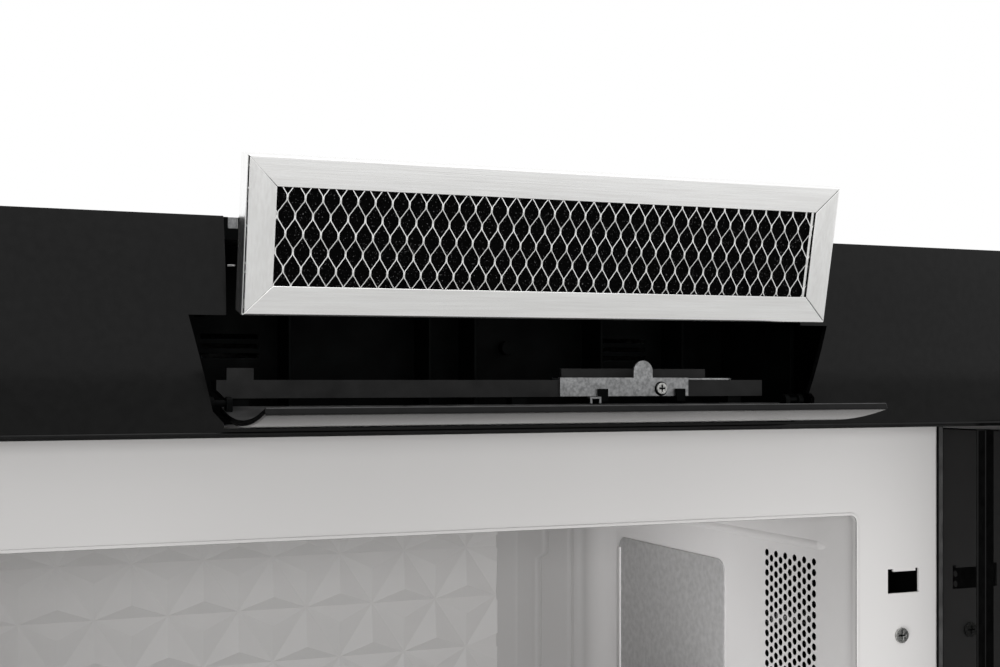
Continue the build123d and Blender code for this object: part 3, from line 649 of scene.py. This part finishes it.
class MICROWAVE_OT_stage(bpy.types.Operator):
    """Set up the camera, the floor, the surroundings and the lamps"""
    bl_idname = "microwave.stage"
    bl_label = "Stage"

    # Name, place, aim, size in metres, spread in degrees, watts, and seen in reflections
    LAMPS = (
        ("key", (-0.60, -2.6, 0.20), (0.05, -0.2, 0), 0.7, 110, 9.9, False),
        ("low", (-2.1, -1.6, -0.85), (0.2, -0.2, 0), 0.9, 90, 12.6, False),
        ("top", (0.5, -1.4, 2.2), (0, -0.3, 0), 1.4, 180, 12, True),
    )

    def execute(self, context):
        stage = context.scene.microwave_stage
        self.camera(context.scene, stage)
        self.floor(stage)
        self.surroundings(context.scene, stage)
        self.lamps()
        context.scene.view_settings.view_transform = "Standard"
        return {"FINISHED"}

    def camera(self, scene, stage):
        data = bpy.data.cameras.new("camera")
        data.lens = stage.lens
        data.sensor_width = 36
        data.shift_y = stage.horizon_shift
        data.clip_start = 0.01
        camera = bpy.data.objects.new("camera", data)
        camera.location = stage.camera_at
        camera.rotation_euler = (math.pi / 2, 0, -stage.camera_turn)
        scene.collection.objects.link(camera)
        scene.camera = camera

    def floor(self, stage):
        """Plain pale floor, well below the wall-mounted case."""
        deselect()
        bpy.ops.mesh.primitive_plane_add(size=14, location=(0, 0, stage.floor_height))
        floor = settle(named("floor"))
        finish = Finish("floor", (0.90, 0.90, 0.89), 0.7)
        finish.mottle(0.01, 3)
        floor.data.materials.append(finish.material)

    def surroundings(self, scene, stage):
        """White to the camera and in reflections, softer as a light."""
        world = bpy.data.worlds.new("surroundings")
        world.use_nodes = True
        scene.world = world
        nodes, links = world.node_tree.nodes, world.node_tree.links
        rays = nodes.new("ShaderNodeLightPath")
        seen = rays.outputs["Is Camera Ray"]
        for other in ("Is Glossy Ray", "Is Transmission Ray"):
            either = nodes.new("ShaderNodeMath")
            either.operation = "MAXIMUM"
            links.new(seen, either.inputs[0])
            links.new(rays.outputs[other], either.inputs[1])
            seen = either.outputs["Value"]
        mix = nodes.new("ShaderNodeMix")
        mix.data_type = "RGBA"
        mix.inputs["A"].default_value = (stage.ambient, stage.ambient, stage.ambient, 1)
        mix.inputs["B"].default_value = (1, 1, 1, 1)
        links.new(seen, mix.inputs["Factor"])
        links.new(mix.outputs["Result"], nodes["Background"].inputs["Color"])

    def lamps(self):
        """Two soft lamps in front, which glossy surfaces don't mirror, and one above."""
        for name, place, aim, size, spread, power, mirrored in self.LAMPS:
            data = bpy.data.lights.new(name, "AREA")
            data.size = size
            data.spread = math.radians(spread)
            data.energy = power
            lamp = bpy.data.objects.new(name, data)
            lamp.location = place
            lamp.rotation_euler = (Vector(aim) - Vector(place)).to_track_quat("-Z", "Y").to_euler()
            lamp.visible_glossy = mirrored
            bpy.context.scene.collection.objects.link(lamp)


class MICROWAVE_OT_vent_panel(MicrowaveStep):
    """Curved gloss panel across the top, notched for the flap"""
    bl_idname = "microwave.vent_panel"
    bl_label = "Vent Panel"

    NOTCH_HALF = 0.1511

    def build(self, sizes):
        low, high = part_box("vent_panel")
        radius, wall = sizes.panel_radius, sizes.panel_wall
        centre = (low[1] + radius, (low[2] + high[2]) / 2)
        reach = math.asin((high[2] - low[2]) / 2 / radius)
        panel = arc_shell(
            "vent_panel_skin", low[0], high[0], radius, wall, centre, -reach, reach, sizes.arc_steps
        )
        self.notch(panel, low, high)
        softened(panel, 0.6 * MM, 3)
        edge_y = centre[0] - radius * math.cos(reach) + 1.2 * MM
        end_depth = 0.035
        inner = []
        for z in (low[2], high[2] - wall):
            inner.append(block("shelf", (low[0], edge_y, z), (high[0], high[1], z + wall)))
        cut(inner[1], block("notch", (-self.NOTCH_HALF, -0.5, 0.1), (self.NOTCH_HALF, -0.3, 0.3)))
        for side in (-1, 1):
            x = side * (high[0] - wall / 2)
            inner.append(arc_shell(
                "end", x - wall / 2, x + wall / 2, radius - 0.5 * MM, end_depth, centre,
                -reach, reach, sizes.arc_steps,
            ))
        for piece in inner:
            softened(piece, 0.5 * MM)
        panel = joined("vent_panel_skin", [panel, self.lip(low, high), *inner])
        fit_out(panel, "case", "gloss_black", "gloss_black", "vent_panel")

    def notch(self, panel, low, high):
        """Straight notch up to the top edge, tapered wings below and a relief for the right pin."""
        front, rear, above = low[1] - 0.01, low[1] + 0.03, high[2] + 0.01
        half, wing_half, taper_half, sweep_half = self.NOTCH_HALF, 0.1677, 0.1562, 0.1512
        wing_top, wing_foot, taper_foot, sweep_foot = 0.1742, 0.1313, 0.1262, 0.1235
        pin_start, pin_end, pin_top = 0.150, 0.162, 0.1385
        wings = block("wings", (-wing_half, front, wing_foot), (wing_half, rear, wing_top))
        self.narrow(wings, wing_foot, taper_half / wing_half)
        relief = block("relief", (pin_start, front, wing_foot), (pin_end, rear, pin_top))
        round_edges(
            relief, lambda e: middle(e).x > pin_end - MM and middle(e).z > pin_top - 0.5 * MM, 2.5 * MM, 1
        )
        taper = block("taper", (-taper_half, front, taper_foot), (taper_half, rear, wing_foot + 0.1 * MM))
        self.narrow(taper, taper_foot, sweep_half / taper_half)
        cut(
            panel,
            wings,
            block("notch", (-half, front, wing_foot), (half, rear, above)),
            relief,
            block("sweep", (-sweep_half, front, sweep_foot), (sweep_half, rear, wing_foot)),
            taper,
        )

    def narrow(self, cutter, foot, share):
        """Draw in the lower end of a cutter."""
        scale_points(cutter, lambda v: v.co.z < foot + MM, (share, 1, 1))

    def lip(self, low, high):
        """Bead along the panel's lower edge."""
        y, z = -0.4026, 0.1214
        return smooth(rod("lip", 0.9 * MM, (low[0], y, z), (high[0], y, z), 20))


class MICROWAVE_OT_filter_flap(MicrowaveStep):
    """Curved flap folded down on its two pins"""
    bl_idname = "microwave.filter_flap"
    bl_label = "Filter Flap"

    AXIS_Y, AXIS_Z = -0.3993, 0.135

    def build(self, sizes):
        low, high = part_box("filter_flap")
        panel_low, panel_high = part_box("vent_panel")
        radius = sizes.panel_radius
        panel_centre_y = panel_low[1] + radius
        panel_centre_z = (panel_low[2] + panel_high[2]) / 2
        # The panel's axis, turned a quarter turn about the flap's pins
        centre = (
            self.AXIS_Y - (panel_centre_z - self.AXIS_Z),
            self.AXIS_Z + (panel_centre_y - self.AXIS_Y),
        )
        rear, half = -0.3895, 0.1502
        start = -math.acos((centre[0] - rear) / radius)
        end = -math.acos((centre[0] - low[1]) / radius)
        flap = arc_shell("flap_skin", -half, half, radius, sizes.flap_wall, centre, start, end, 36)
        fit_out(softened(flap, 0.8 * MM, 4), "flap", "gloss_black", "gloss_black", "filter_flap")
        second_finish(flap, "satin_black", lambda f: f.normal.z > 0.7)
        ears = joined("flap_ears_and_pins", [*self.ear(-1), *self.ear(1)])
        fit_out(ears, "flap", "matte_black", "gloss_black", "filter_flap")

    def ear(self, side):
        """Round ear, its web down to the flap, and its pin."""
        y, z, radius, web_foot = self.AXIS_Y, self.AXIS_Z, 2.9 * MM, 0.1305
        near, far, pin_end = side * 0.1468, side * 0.1496, side * 0.159
        pieces = (
            rod("ear", radius, (near, y, z), (far, y, z), 48),
            block("web", (min(near, far), y - radius, web_foot), (max(near, far), y + radius, z)),
            rod("pin", 1.5 * MM, (near, y, z), (pin_end, y, z), 24),
        )
        return [softened(piece, 0.3 * MM) for piece in pieces]


class MICROWAVE_OT_charcoal_filter(MicrowaveStep):
    """Mitred channel frame, expanded metal and charcoal bed"""
    bl_idname = "microwave.charcoal_filter"
    bl_label = "Charcoal Filter"

    WIDTH, HEIGHT, DEPTH = 0.298, 0.0685, 0.015
    FOOT = (-0.0003, -0.4333, 0.1738)
    LEAN = math.radians(12.3)
    TILT = math.radians(-0.3)
    # Bends of the lower half of a strand, as shares of its width and height
    BENDS = ((0.01, 0.14), (0.10, 0.24), (0.29, 0.35), (0.5, 0.5))

    def lean(self, obj):
        """Move a piece from the filter's own axes to its place."""
        obj.location = self.FOOT
        obj.rotation_mode = "ZYX"
        obj.rotation_euler = (self.LEAN, self.TILT, 0)
        return settle(obj)

    def rail(self, name, span, sizes, low_gap, high_gap, corner=1.0 * MM):
        """Channel along X, open to the inside, its ends cut to the mitre."""
        rail = block(name, (-span / 2, 0, 0), (span / 2, self.DEPTH, sizes.rail_width))
        trim(rail, [
            ((side * (span / 2 - gap), 0, 0), (side, 0, 1)) for side, gap in ((-1, low_gap), (1, high_gap))
        ])
        round_edges(
            rail, lambda e: abs(middle(e).z) < 1e-5 and abs((e.verts[0].co - e.verts[1].co).y) < 1e-5,
            corner, 4,
        )
        pick(rail, lambda f: f.normal.z > 0.9 or abs(f.normal.x) > 0.5)
        bpy.ops.mesh.delete(type="FACE")
        leave()
        return rail

    def fold(self, rail, sizes):
        """Wall thickness and rounded edges of a rail."""
        modify(rail, "SOLIDIFY", thickness=sizes.channel_wall, offset=-1)
        bevel(rail, 0.28 * MM, 3, 60)
        return smooth(rail)

    def open_seam(self, rail):
        """Narrow open seam between a rail's front and its side."""
        pick(rail, lambda f: abs(f.normal.y) < 0.98 and abs(f.normal.z) < 0.98 and middle(f).y < 2 * MM)
        bpy.ops.mesh.delete(type="FACE")
        leave()

    def turned(self, rail, angle, place):
        """Turn a rail about the middle of the filter's height and put it in its place."""
        moved(rail, (0, 0, -self.HEIGHT / 2))
        return moved(rail, place, (0, angle, 0))

    def build(self, sizes):
        tight, loose = 0.05 * MM, 0.22 * MM
        half_w, half_h = self.WIDTH / 2, self.HEIGHT / 2
        low_rail = self.fold(self.rail("rail", self.WIDTH, sizes, tight, loose), sizes)
        high_rail = self.fold(self.rail("rail", self.WIDTH, sizes, loose, tight), sizes)
        self.turned(high_rail, math.pi, (0, 0, half_h))
        frame_long = self.lean(joined("filter_rails_level", [low_rail, high_rail]))
        uprights = []
        for side, gap in ((-1, loose), (1, tight)):
            rail = self.rail("rail", self.HEIGHT, sizes, gap, gap, 1.4 * MM)
            self.open_seam(rail)
            self.fold(rail, sizes)
            uprights.append(self.turned(rail, side * math.pi / 2, (-side * (half_w - half_h), 0, half_h)))
        frame_short = self.lean(joined("filter_rails_upright", uprights))
        fit_out(frame_long, "filter", "aluminium", "bare_aluminium", "filter_frame")
        fit_out(frame_short, "filter", "aluminium_upright", "bare_aluminium", "filter_frame")
        wall = sizes.channel_wall
        front = self.expanded_metal("filter_mesh_front", sizes, wall + 0.6 * MM)
        back = self.expanded_metal("filter_mesh_back", sizes, self.DEPTH - wall - 0.75 * MM)
        for mesh in (front, back):
            fit_out(self.lean(mesh), "filter", "mesh", "bare_aluminium", "filter_meshes")
        self.bed(sizes)

    def crossing(self, name, sizes):
        """The four strands that meet at one crossing of the expanded metal."""
        half_w, half_h, strand = sizes.diamond_width / 2, sizes.diamond_height / 2, sizes.strand
        net = plane(name, (strand * 0.35, 0, 0), (strand, strand, 1))
        pick(net, everything)
        bends = self.BENDS + tuple((1 - x, 1 - z) for x, z in reversed(self.BENDS[:-1])) + ((1, 1),)
        reach, rise = half_w - strand * 0.7, 0.45 * MM
        last_x, last_z = 0, 0
        for x, z in bends:
            step = ((x - last_x) * reach, (z - last_z) * rise, (z - last_z) * half_h)
            bpy.ops.mesh.extrude_region_move(TRANSFORM_OT_translate={"value": step})
            last_x, last_z = x, z
        leave()
        tidy_normals(net)
        return modify(net, "MIRROR", use_axis=(True, False, True), use_clip=False, use_mirror_merge=False)

    def expanded_metal(self, name, sizes, depth):
        """One crossing repeated over the filter and trimmed at its channel, with its selvage."""
        net = self.crossing(name, sizes)
        columns = int(self.WIDTH / sizes.diamond_width) + 3
        rows = int(self.HEIGHT / sizes.diamond_height) + 3
        repeat(net, columns, (sizes.diamond_width, 0, 0))
        repeat(net, rows, (0, 0, sizes.diamond_height))
        start_x, start_z, skew = -155.8 * MM, -10.4 * MM, math.radians(1.03)
        moved(net, (start_x, depth, start_z), (0, skew, 0))
        inset = sizes.channel_wall + 0.2 * MM
        half, top = self.WIDTH / 2 - inset, self.HEIGHT - inset
        trim(net, window(-half, half, inset, top))
        tidy_normals(net)
        edge = self.WIDTH / 2 - sizes.rail_width - 0.35 * MM
        selvage = soft_block(
            "selvage", (edge - 1.5 * MM, depth, inset), (edge, depth + 0.4 * MM, top), 0.15 * MM
        )
        return joined(name, [net, selvage])

    def bed(self, sizes):
        """Granular block whose two faces are roughened."""
        inset = sizes.channel_wall + 1.9 * MM
        bed = block(
            "charcoal_block", (-self.WIDTH / 2 + 2 * MM, inset, 2 * MM),
            (self.WIDTH / 2 - 2 * MM, self.DEPTH - inset, self.HEIGHT - 2 * MM),
        )
        pick(bed, lambda f: abs(f.normal.y) > 0.9)
        bpy.ops.mesh.subdivide(number_cuts=60, quadcorner="INNERVERT")
        bpy.ops.transform.vertex_random(offset=0.35 * MM, uniform=0.0, normal=0.0, seed=7)
        leave()
        smooth(self.lean(bed), 60)
        fit_out(bed, "filter", "charcoal", "charcoal", "charcoal_bed")


class MICROWAVE_OT_filter_bay(MicrowaveStep):
    """Duct, guides, ledge, clip and screw behind the flap"""
    bl_idname = "microwave.filter_bay"
    bl_label = "Filter Bay"

    def build(self, sizes):
        for node, width, finish in (
            ("filter_duct", 0.25, "matte_black"), ("filter_guides", 0.4, "matte_black"),
            ("filter_ledge", 0.5, "moulded_black"), ("flap_hinge_ears", 0.3, "matte_black"),
        ):
            moulding = dress(node, node + "_moulding", "case", finish, "matte_black", width)
            if node == "filter_ledge":
                bar_front, bar_foot = -0.3882, 0.1369
                # Painted shade: the ledge's front and lower faces and its feet take the darker black
                second_finish(
                    moulding, "matte_black",
                    lambda f: middle(f).y < bar_front or middle(f).z < bar_foot,
                )
        bracket = block("guide_bracket", (-0.1490, -0.3462, 0.2140), (-0.1250, -0.3451, 0.2252))
        cut(bracket, block("window", (-0.1378, -0.35, 0.2197), (-0.1329, -0.34, 0.2300)))
        fit_out(softened(bracket, 0.15 * MM), "case", "matte_black", "matte_black")
        tongue = soft_block("guide_tongue", (-0.1377, -0.3440, 0.2012), (-0.1340, -0.3420, 0.2021), 0.15 * MM)
        fit_out(tongue, "case", "aluminium", "galvanised")
        self.small_parts()
        self.clip()

    def small_parts(self):
        """Rail behind the clip and the small catch under it."""
        rail = soft_block("rear_rail", (0.0275, -0.3765, 0.1430), (0.1128, -0.3740, 0.1514), 0.4 * MM)
        fit_out(rail, "case", "moulded_black", "matte_black")
        catch = block("flap_catch", (0.0363, -0.3925, 0.1336), (0.0425, -0.3880, 0.1370))
        cut(
            catch,
            block("gap", (0.0375, -0.3935, 0.1330), (0.0413, -0.3870, 0.1359)),
            block("rear", (0.0353, -0.3915, 0.1330), (0.0435, -0.3870, 0.1362)),
        )
        fit_out(softened(catch, 0.15 * MM), "case", "zinc", "galvanised")

    def clip(self):
        """Galvanised clip with its tail, and its screw with a driver cross, painted shade in the cross and a
        painted shadow ring round the head.
        """
        clip = refined("filter_clip", "clip_bracket", 0.5 * MM, 3)
        tail_end, tail_front = 0.1240, -0.3880
        tail = block("tail", (0.0948, tail_front, 0.1455), (tail_end, -0.3810, 0.1465))
        round_edges(
            tail, lambda e: middle(e).x > tail_end - MM and middle(e).y < tail_front + MM, 5 * MM, 3
        )
        clip = joined("clip_strip", [clip, softened(tail, 0.2 * MM)])
        fit_out(clip, "case", "zinc", "galvanised", "filter_clip")
        dress("clip_screw", "clip_screw_cross", "case", "bright_zinc", "zinc", 0.25)
        # Black bars in the screw's cross recess: painted shade
        cross = painted_cross_shade("recess", ((0.0785, 0.1411),), -0.3905, 3.8 * MM, 1.0 * MM)
        # Thin black ring behind the screw head: a painted shadow
        shadow_ring = rod("shadow_ring", 3.7 * MM, (0.0787, -0.3895, 0.1410), (0.0787, -0.3890, 0.1410), 40)
        cross = joined("clip_screw_painted_shade", [cross, softened(shadow_ring, 0.1 * MM)])
        fit_out(cross, "case", "matte_black", "zinc", "clip_screw")


class MICROWAVE_OT_front_plate(MicrowaveStep):
    """Powder coated plate round the cavity, with its slots and screws"""
    bl_idname = "microwave.front_plate"
    bl_label = "Front Plate"

    # The cavity's opening, and the X and Z places of the plate's screws
    LEFT, RIGHT, FOOT, TOP = -0.329, 0.221, -0.1725, 0.0675
    SCREWS = ((0.2526, -0.0037), (0.2526, -0.1400), (-0.3520, 0.0500), (-0.3520, -0.1300))

    def build(self, sizes):
        dress("front_plate", "front_plate_sheet", "case", "plate", "plate_paint", 0.55, 3)
        fit_out(self.lip(), "case", "plate", "plate_paint", "front_plate")
        seam = self.ring("opening_seam", -0.3632, -0.3628, -0.05 * MM, 0.3 * MM)
        fit_out(smooth(seam), "case", "satin_black", "plate_paint", "front_plate")
        dress("plate_screws", "plate_screw_heads", "case", "bright_zinc", "zinc", 0.3)
        # Black bars in the screws' cross recesses: painted shade
        cross = painted_cross_shade("plate_screw_painted_shade", self.SCREWS, -0.3640, 4.8 * MM, 0.8 * MM)
        fit_out(cross, "case", "matte_black", "zinc", "plate_screws")
        dress("door_hinges", "hinge_plates", "case", "bright_zinc", "zinc", 0.3)

    def outline(self, name, front, rear, gap):
        """Block over the opening, larger by the gap, with rounded corners."""
        obj = block(
            name, (self.LEFT - gap, front, self.FOOT - gap), (self.RIGHT + gap, rear, self.TOP + gap)
        )
        round_edges(obj, lambda e: abs(e.verts[0].co.y - e.verts[1].co.y) > 0.3 * MM, 4 * MM + gap, 8)
        return obj

    def ring(self, name, front, rear, inner, outer):
        """Band round the opening; inner and outer are its distances from the opening's edge."""
        band = self.outline(name, front, rear, outer)
        return cut(band, self.outline("hole", front - 0.01, rear + 0.01, inner))

    def lip(self):
        """Rolled edge of the opening, half a millimetre proud."""
        return softened(self.ring("opening_lip", -0.3635, -0.3598, 0, 1.8 * MM), 0.45 * MM, 3)


class MICROWAVE_OT_cavity(MicrowaveStep):
    """Cooking cavity with its faceted back wall"""
    bl_idname = "microwave.cavity"
    bl_label = "Cavity"

    SHEET = 0.8 * MM
    RELIEF_RIGHT = 0.138
    # A corner of the lattice that the photograph shows
    NODE_X, NODE_Z = 0.0105, 0.016
    # X and height of the pressed ribs beside the relief, in millimetres
    PROFILE = (
        (151.0, 0.3), (153.5, 1.5), (155.5, 1.2), (166.5, 1.2), (169.0, 0.3), (171.5, 0.4), (174.0, 2.6),
        (176.5, 1.2), (197.0, 0.5), (199.0, 0.6), (200.8, 2.0), (203.5, 0.9), (204.0, 0.8),
    )

    def build(self, sizes):
        repaint("cavity", "cavity_ceiling", "cavity_floor")
        repaint("cavity_side", "cavity_left_wall", "cavity_right_wall")
        dress("waveguide_cover", "waveguide_mica", "case", "mica", "mica", 0.3)
        bead = soft_block(
            "mica_edge_bead", (0.2220, -0.0655, -0.0900), (0.2242, -0.0625, 0.0165), 0.9 * MM, 3
        )
        fit_out(bead, "case", "cavity_side", "cavity_enamel")
        fit_out(self.relief(sizes), "case", "cavity", "cavity_enamel", "cavity_back_wall")
        fit_out(self.ribs(), "case", "cavity_corner", "cavity_enamel", "cavity_back_wall")

    def triangle(self, sizes, plane_y, flip, depth, drop):
        """Triangle whose middle stands out by the depth and hangs by the drop."""
        side, row = sizes.relief_side, sizes.relief_row
        deselect()
        bpy.ops.mesh.primitive_circle_add(
            vertices=3, radius=side / math.sqrt(3), fill_type="NGON",
            rotation=(math.pi / 2, flip * math.pi, 0),
        )
        triangle = settle(named("triangle"))
        triangle.scale = (1, 1, row / (side * math.sqrt(3) / 2))
        settle(triangle)
        foot = min(v.co.z for v in triangle.data.vertices)
        left = min(v.co.x for v in triangle.data.vertices)
        moved(triangle, (flip * side / 2 - left, plane_y, -foot))
        pick(triangle, everything)
        bpy.ops.mesh.poke()
        leave()
        centre = sum(v.co.z for v in triangle.data.vertices) / 4
        shift_points(triangle, lambda v: abs(v.co.z - centre) < side * 0.12, (0, -depth, -drop))
        return triangle

    def relief(self, sizes):
        """Lattice of triangles, each poked at its middle into three facets."""
        low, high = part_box("cavity_back_wall")
        side, row, depth = sizes.relief_side, sizes.relief_row, sizes.relief_depth
        plane_y = high[1] - self.SHEET
        upright = self.triangle(sizes, plane_y, 0, depth, 3 * MM)
        hanging = self.triangle(sizes, plane_y, 1, depth * 0.65, 0)
        relief = joined("back_relief", [upright, hanging])
        repeat(relief, int((high[0] - low[0]) / side) + 4, (side, 0, 0))
        second = relief.copy()
        second.data = relief.data.copy()
        bpy.context.collection.objects.link(second)
        moved(second, (side / 2, 0, row))
        relief = joined("back_relief", [relief, second])
        repeat(relief, 4, (0, 0, 2 * row))
        moved(relief, (self.NODE_X - 8 * side, 0, self.NODE_Z - 6 * row))
        right = self.RELIEF_RIGHT
        trim(relief, window(low[0] + 0.2 * MM, right, low[2], high[2] - 4 * MM), False)
        pick(relief, everything, "VERT")
        bpy.ops.mesh.remove_doubles(threshold=1e-5)
        leave()
        scale_points(relief, lambda v: v.co.x > right - 0.5 * MM, (1, 0, 1), (0, plane_y, 0))
        back = block("back_sheet", (low[0], plane_y + 0.2 * MM, low[2]), (high[0], high[1], high[2]))
        return joined("back_relief", [relief, back])

    def ribs(self):
        """Upright ribs beside the relief and the rounded corner to the right wall."""
        low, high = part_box("cavity_back_wall")
        plane_y, start = high[1] - self.SHEET, self.RELIEF_RIGHT
        foot, top = low[2] + MM, high[2] - 1.5 * MM
        at_x, at_height = start / MM, 0.3
        sheet = plane(
            "back_ribs", (start - 0.5 * MM, plane_y - at_height * MM, (foot + top) / 2),
            (MM, top - foot, 1), (math.pi / 2, 0, 0),
        )
        pick(
            sheet,
            lambda e: middle(e).x > start - 0.1 * MM and abs(e.verts[0].co.z - e.verts[1].co.z) > MM,
            "EDGE",
        )
        for x, height in self.PROFILE:
            step = ((x - at_x) * MM, (at_height - height) * MM, 0)
            bpy.ops.mesh.extrude_region_move(TRANSFORM_OT_translate={"value": step})
            at_x, at_height = x, height
        last_y = plane_y - at_height * MM
        self.corner(sheet, at_x * MM, last_y)
        self.jog(sheet)
        modify(sheet, "SOLIDIFY", thickness=0.6 * MM, offset=-1)
        tidy_normals(sheet)
        return smooth(sheet, 60)

    def corner(self, sheet, start_x, start_y):
        """Quarter round from the sheet's last edge, drawn out along the right wall."""
        radius = 19.5 * MM
        bpy.ops.mesh.spin(
            steps=10, angle=math.pi / 2, axis=(0, 0, 1), center=(start_x, start_y - radius, 0)
        )
        leave()
        scale_points(sheet, lambda v: v.co.x > start_x + 0.1 * MM, (1, 1.75, 1), (0, start_y, 0))
        wall_side = start_x + radius - 0.1 * MM
        shift_points(sheet, lambda v: v.co.x > wall_side, (0.45 * MM, 0, 0))

    def jog(self, sheet):
        """Sideways step of the tall rib near the cavity's ceiling."""
        for height in (0.0086, 0.0054):
            pick(sheet, everything)
            bpy.ops.mesh.bisect(plane_co=(0, 0, height), plane_no=(0, 0, 1))
            leave()
        rib_left, rib_right, rib_foot = 0.1680, 0.1770, 0.0080
        shift_points(
            sheet, lambda v: v.co.z > rib_foot and rib_left < v.co.x < rib_right, (6.4 * MM, 0, 0)
        )


class MICROWAVE_OT_turntable(MicrowaveStep):
    """Glass tray, roller ring and coupler"""
    bl_idname = "microwave.turntable"
    bl_label = "Turntable"

    def build(self, sizes):
        dress("glass_tray", "tray_pressing", "turntable", "clear_glass", "clear_glass", 0.6, 3, 25)
        for node, body in (("drive_coupler", "turntable"), ("roller_ring", "roller_ring")):
            dress(node, node + "_moulding", body, "white", "white_plastic", 0.3)


class MICROWAVE_OT_control_column(MicrowaveStep):
    """Control housing with its touch glass"""
    bl_idname = "microwave.control_column"
    bl_label = "Control Column"

    def build(self, sizes):
        dress("control_housing", "control_shell", "case", "polished_black", "gloss_black", 0.9, 3)
        left, right, foot, top = 0.2775, 0.2782, -0.1980, 0.1185
        step_y = -0.36595
        strips = []
        for front, rear in ((-0.3692, -0.3660), (-0.3659, -0.3641)):
            strips.append(soft_block("strip", (left, front, foot), (right, rear, top), 0.2 * MM))
        strip = joined("column_edge_strip", strips)
        fit_out(strip, "case", "satin_black", "gloss_black")
        second_finish(strip, "matte_black", lambda f: middle(f).y > step_y)
        dress("control_glass", "control_touch_glass", "case", "black_glass", "black_glass", 0.6, 3)


class MICROWAVE_OT_door(MicrowaveStep):
    """Door with its glass, choke, screen, handle and latch hooks"""
    bl_idname = "microwave.door"
    bl_label = "Door"

    def build(self, sizes):
        for node, name, width, finish, slot in (
            ("door_frame", "door_shell", 1.0, "gloss_black", "gloss_black"),
            ("door_glass", "door_outer_glass", 0.8, "black_glass", "black_glass"),
            ("door_choke", "door_choke_pan", 0.5, "matte_black", "matte_black"),
            ("door_screen", "door_screen_sheet", 0.2, "matte_black", "matte_black"),
            ("door_handle", "door_bar_handle", 0.6, "brushed", "brushed_handle"),
        ):
            dress(node, name, "door", finish, slot, width, 3)
        dress("latch_hooks", "latch_hook_bar", "latch", "matte_black", "matte_black", 0.4)


class MICROWAVE_OT_case(MicrowaveStep):
    """Outer case, wall plate, exhaust and underside"""
    bl_idname = "microwave.case"
    bl_label = "Case"

    def build(self, sizes):
        repaint("case", "case_sides", "bottom_pan")
        repaint("zinc", "case_top", "back_panel", "wall_mount_plate", "exhaust_adaptor",
                "exhaust_damper", "blower_housing", "blower_wheels", "waveguide", "fan_shroud",
                "component_shelf")
        repaint("rubber", "cord_gland")
        for side in ("left", "right"):
            name, body = f"grease_rails_{side}", f"grease_{side}"
            dress(f"grease_frame_{side}", name, body, "aluminium", "bare_aluminium", 0.5)
            repaint("mesh", f"grease_mesh_{side}")
        dress("cooktop_lamp_lens", "lamp_lens", "lamp_cover", "lens", "lamp_lens", 0.4)


class MICROWAVE_OT_inner_parts(MicrowaveStep):
    """Motors, magnetron, transformer and circuit boards"""
    bl_idname = "microwave.inner_parts"
    bl_label = "Inner Parts"

    def build(self, sizes):
        repaint("iron", "hv_transformer", "fan_motor", "blower_motor", "turntable_motor")
        repaint("aluminium", "magnetron", "hv_capacitor")
        repaint("board", "control_board")
        repaint("white", "cooktop_lamps")
        repaint("matte_black", "interlock_bracket", "door_switches", "fan_blade")


# ---- Panel and registration ------------------------------------------------------------

STEPS = (
    MICROWAVE_OT_stage, MICROWAVE_OT_vent_panel, MICROWAVE_OT_filter_flap, MICROWAVE_OT_charcoal_filter,
    MICROWAVE_OT_filter_bay, MICROWAVE_OT_front_plate, MICROWAVE_OT_cavity, MICROWAVE_OT_turntable,
    MICROWAVE_OT_control_column, MICROWAVE_OT_door, MICROWAVE_OT_case, MICROWAVE_OT_inner_parts,
)


class MICROWAVE_PT_panel(bpy.types.Panel):
    """Lists the steps of the build"""
    bl_label = "Microwave"
    bl_idname = "MICROWAVE_PT_panel"
    bl_space_type = "VIEW_3D"
    bl_region_type = "UI"
    bl_category = "Microwave"

    def draw(self, context):
        for step in STEPS:
            self.layout.operator(step.bl_idname)


CLASSES = (MicrowaveSizes, MicrowaveColours, MicrowaveStage, *STEPS, MICROWAVE_PT_panel)


def register():
    for cls in CLASSES:
        bpy.utils.register_class(cls)
    bpy.types.Scene.microwave_sizes = PointerProperty(type=MicrowaveSizes)
    bpy.types.Scene.microwave_colours = PointerProperty(type=MicrowaveColours)
    bpy.types.Scene.microwave_stage = PointerProperty(type=MicrowaveStage)


def unregister():
    for name in ("microwave_sizes", "microwave_colours", "microwave_stage"):
        delattr(bpy.types.Scene, name)
    for cls in reversed(CLASSES):
        bpy.utils.unregister_class(cls)


def main():
    register()
    for step in STEPS:
        group, name = step.bl_idname.split(".")
        getattr(getattr(bpy.ops, group), name)()


if __name__ == "__main__":
    main()
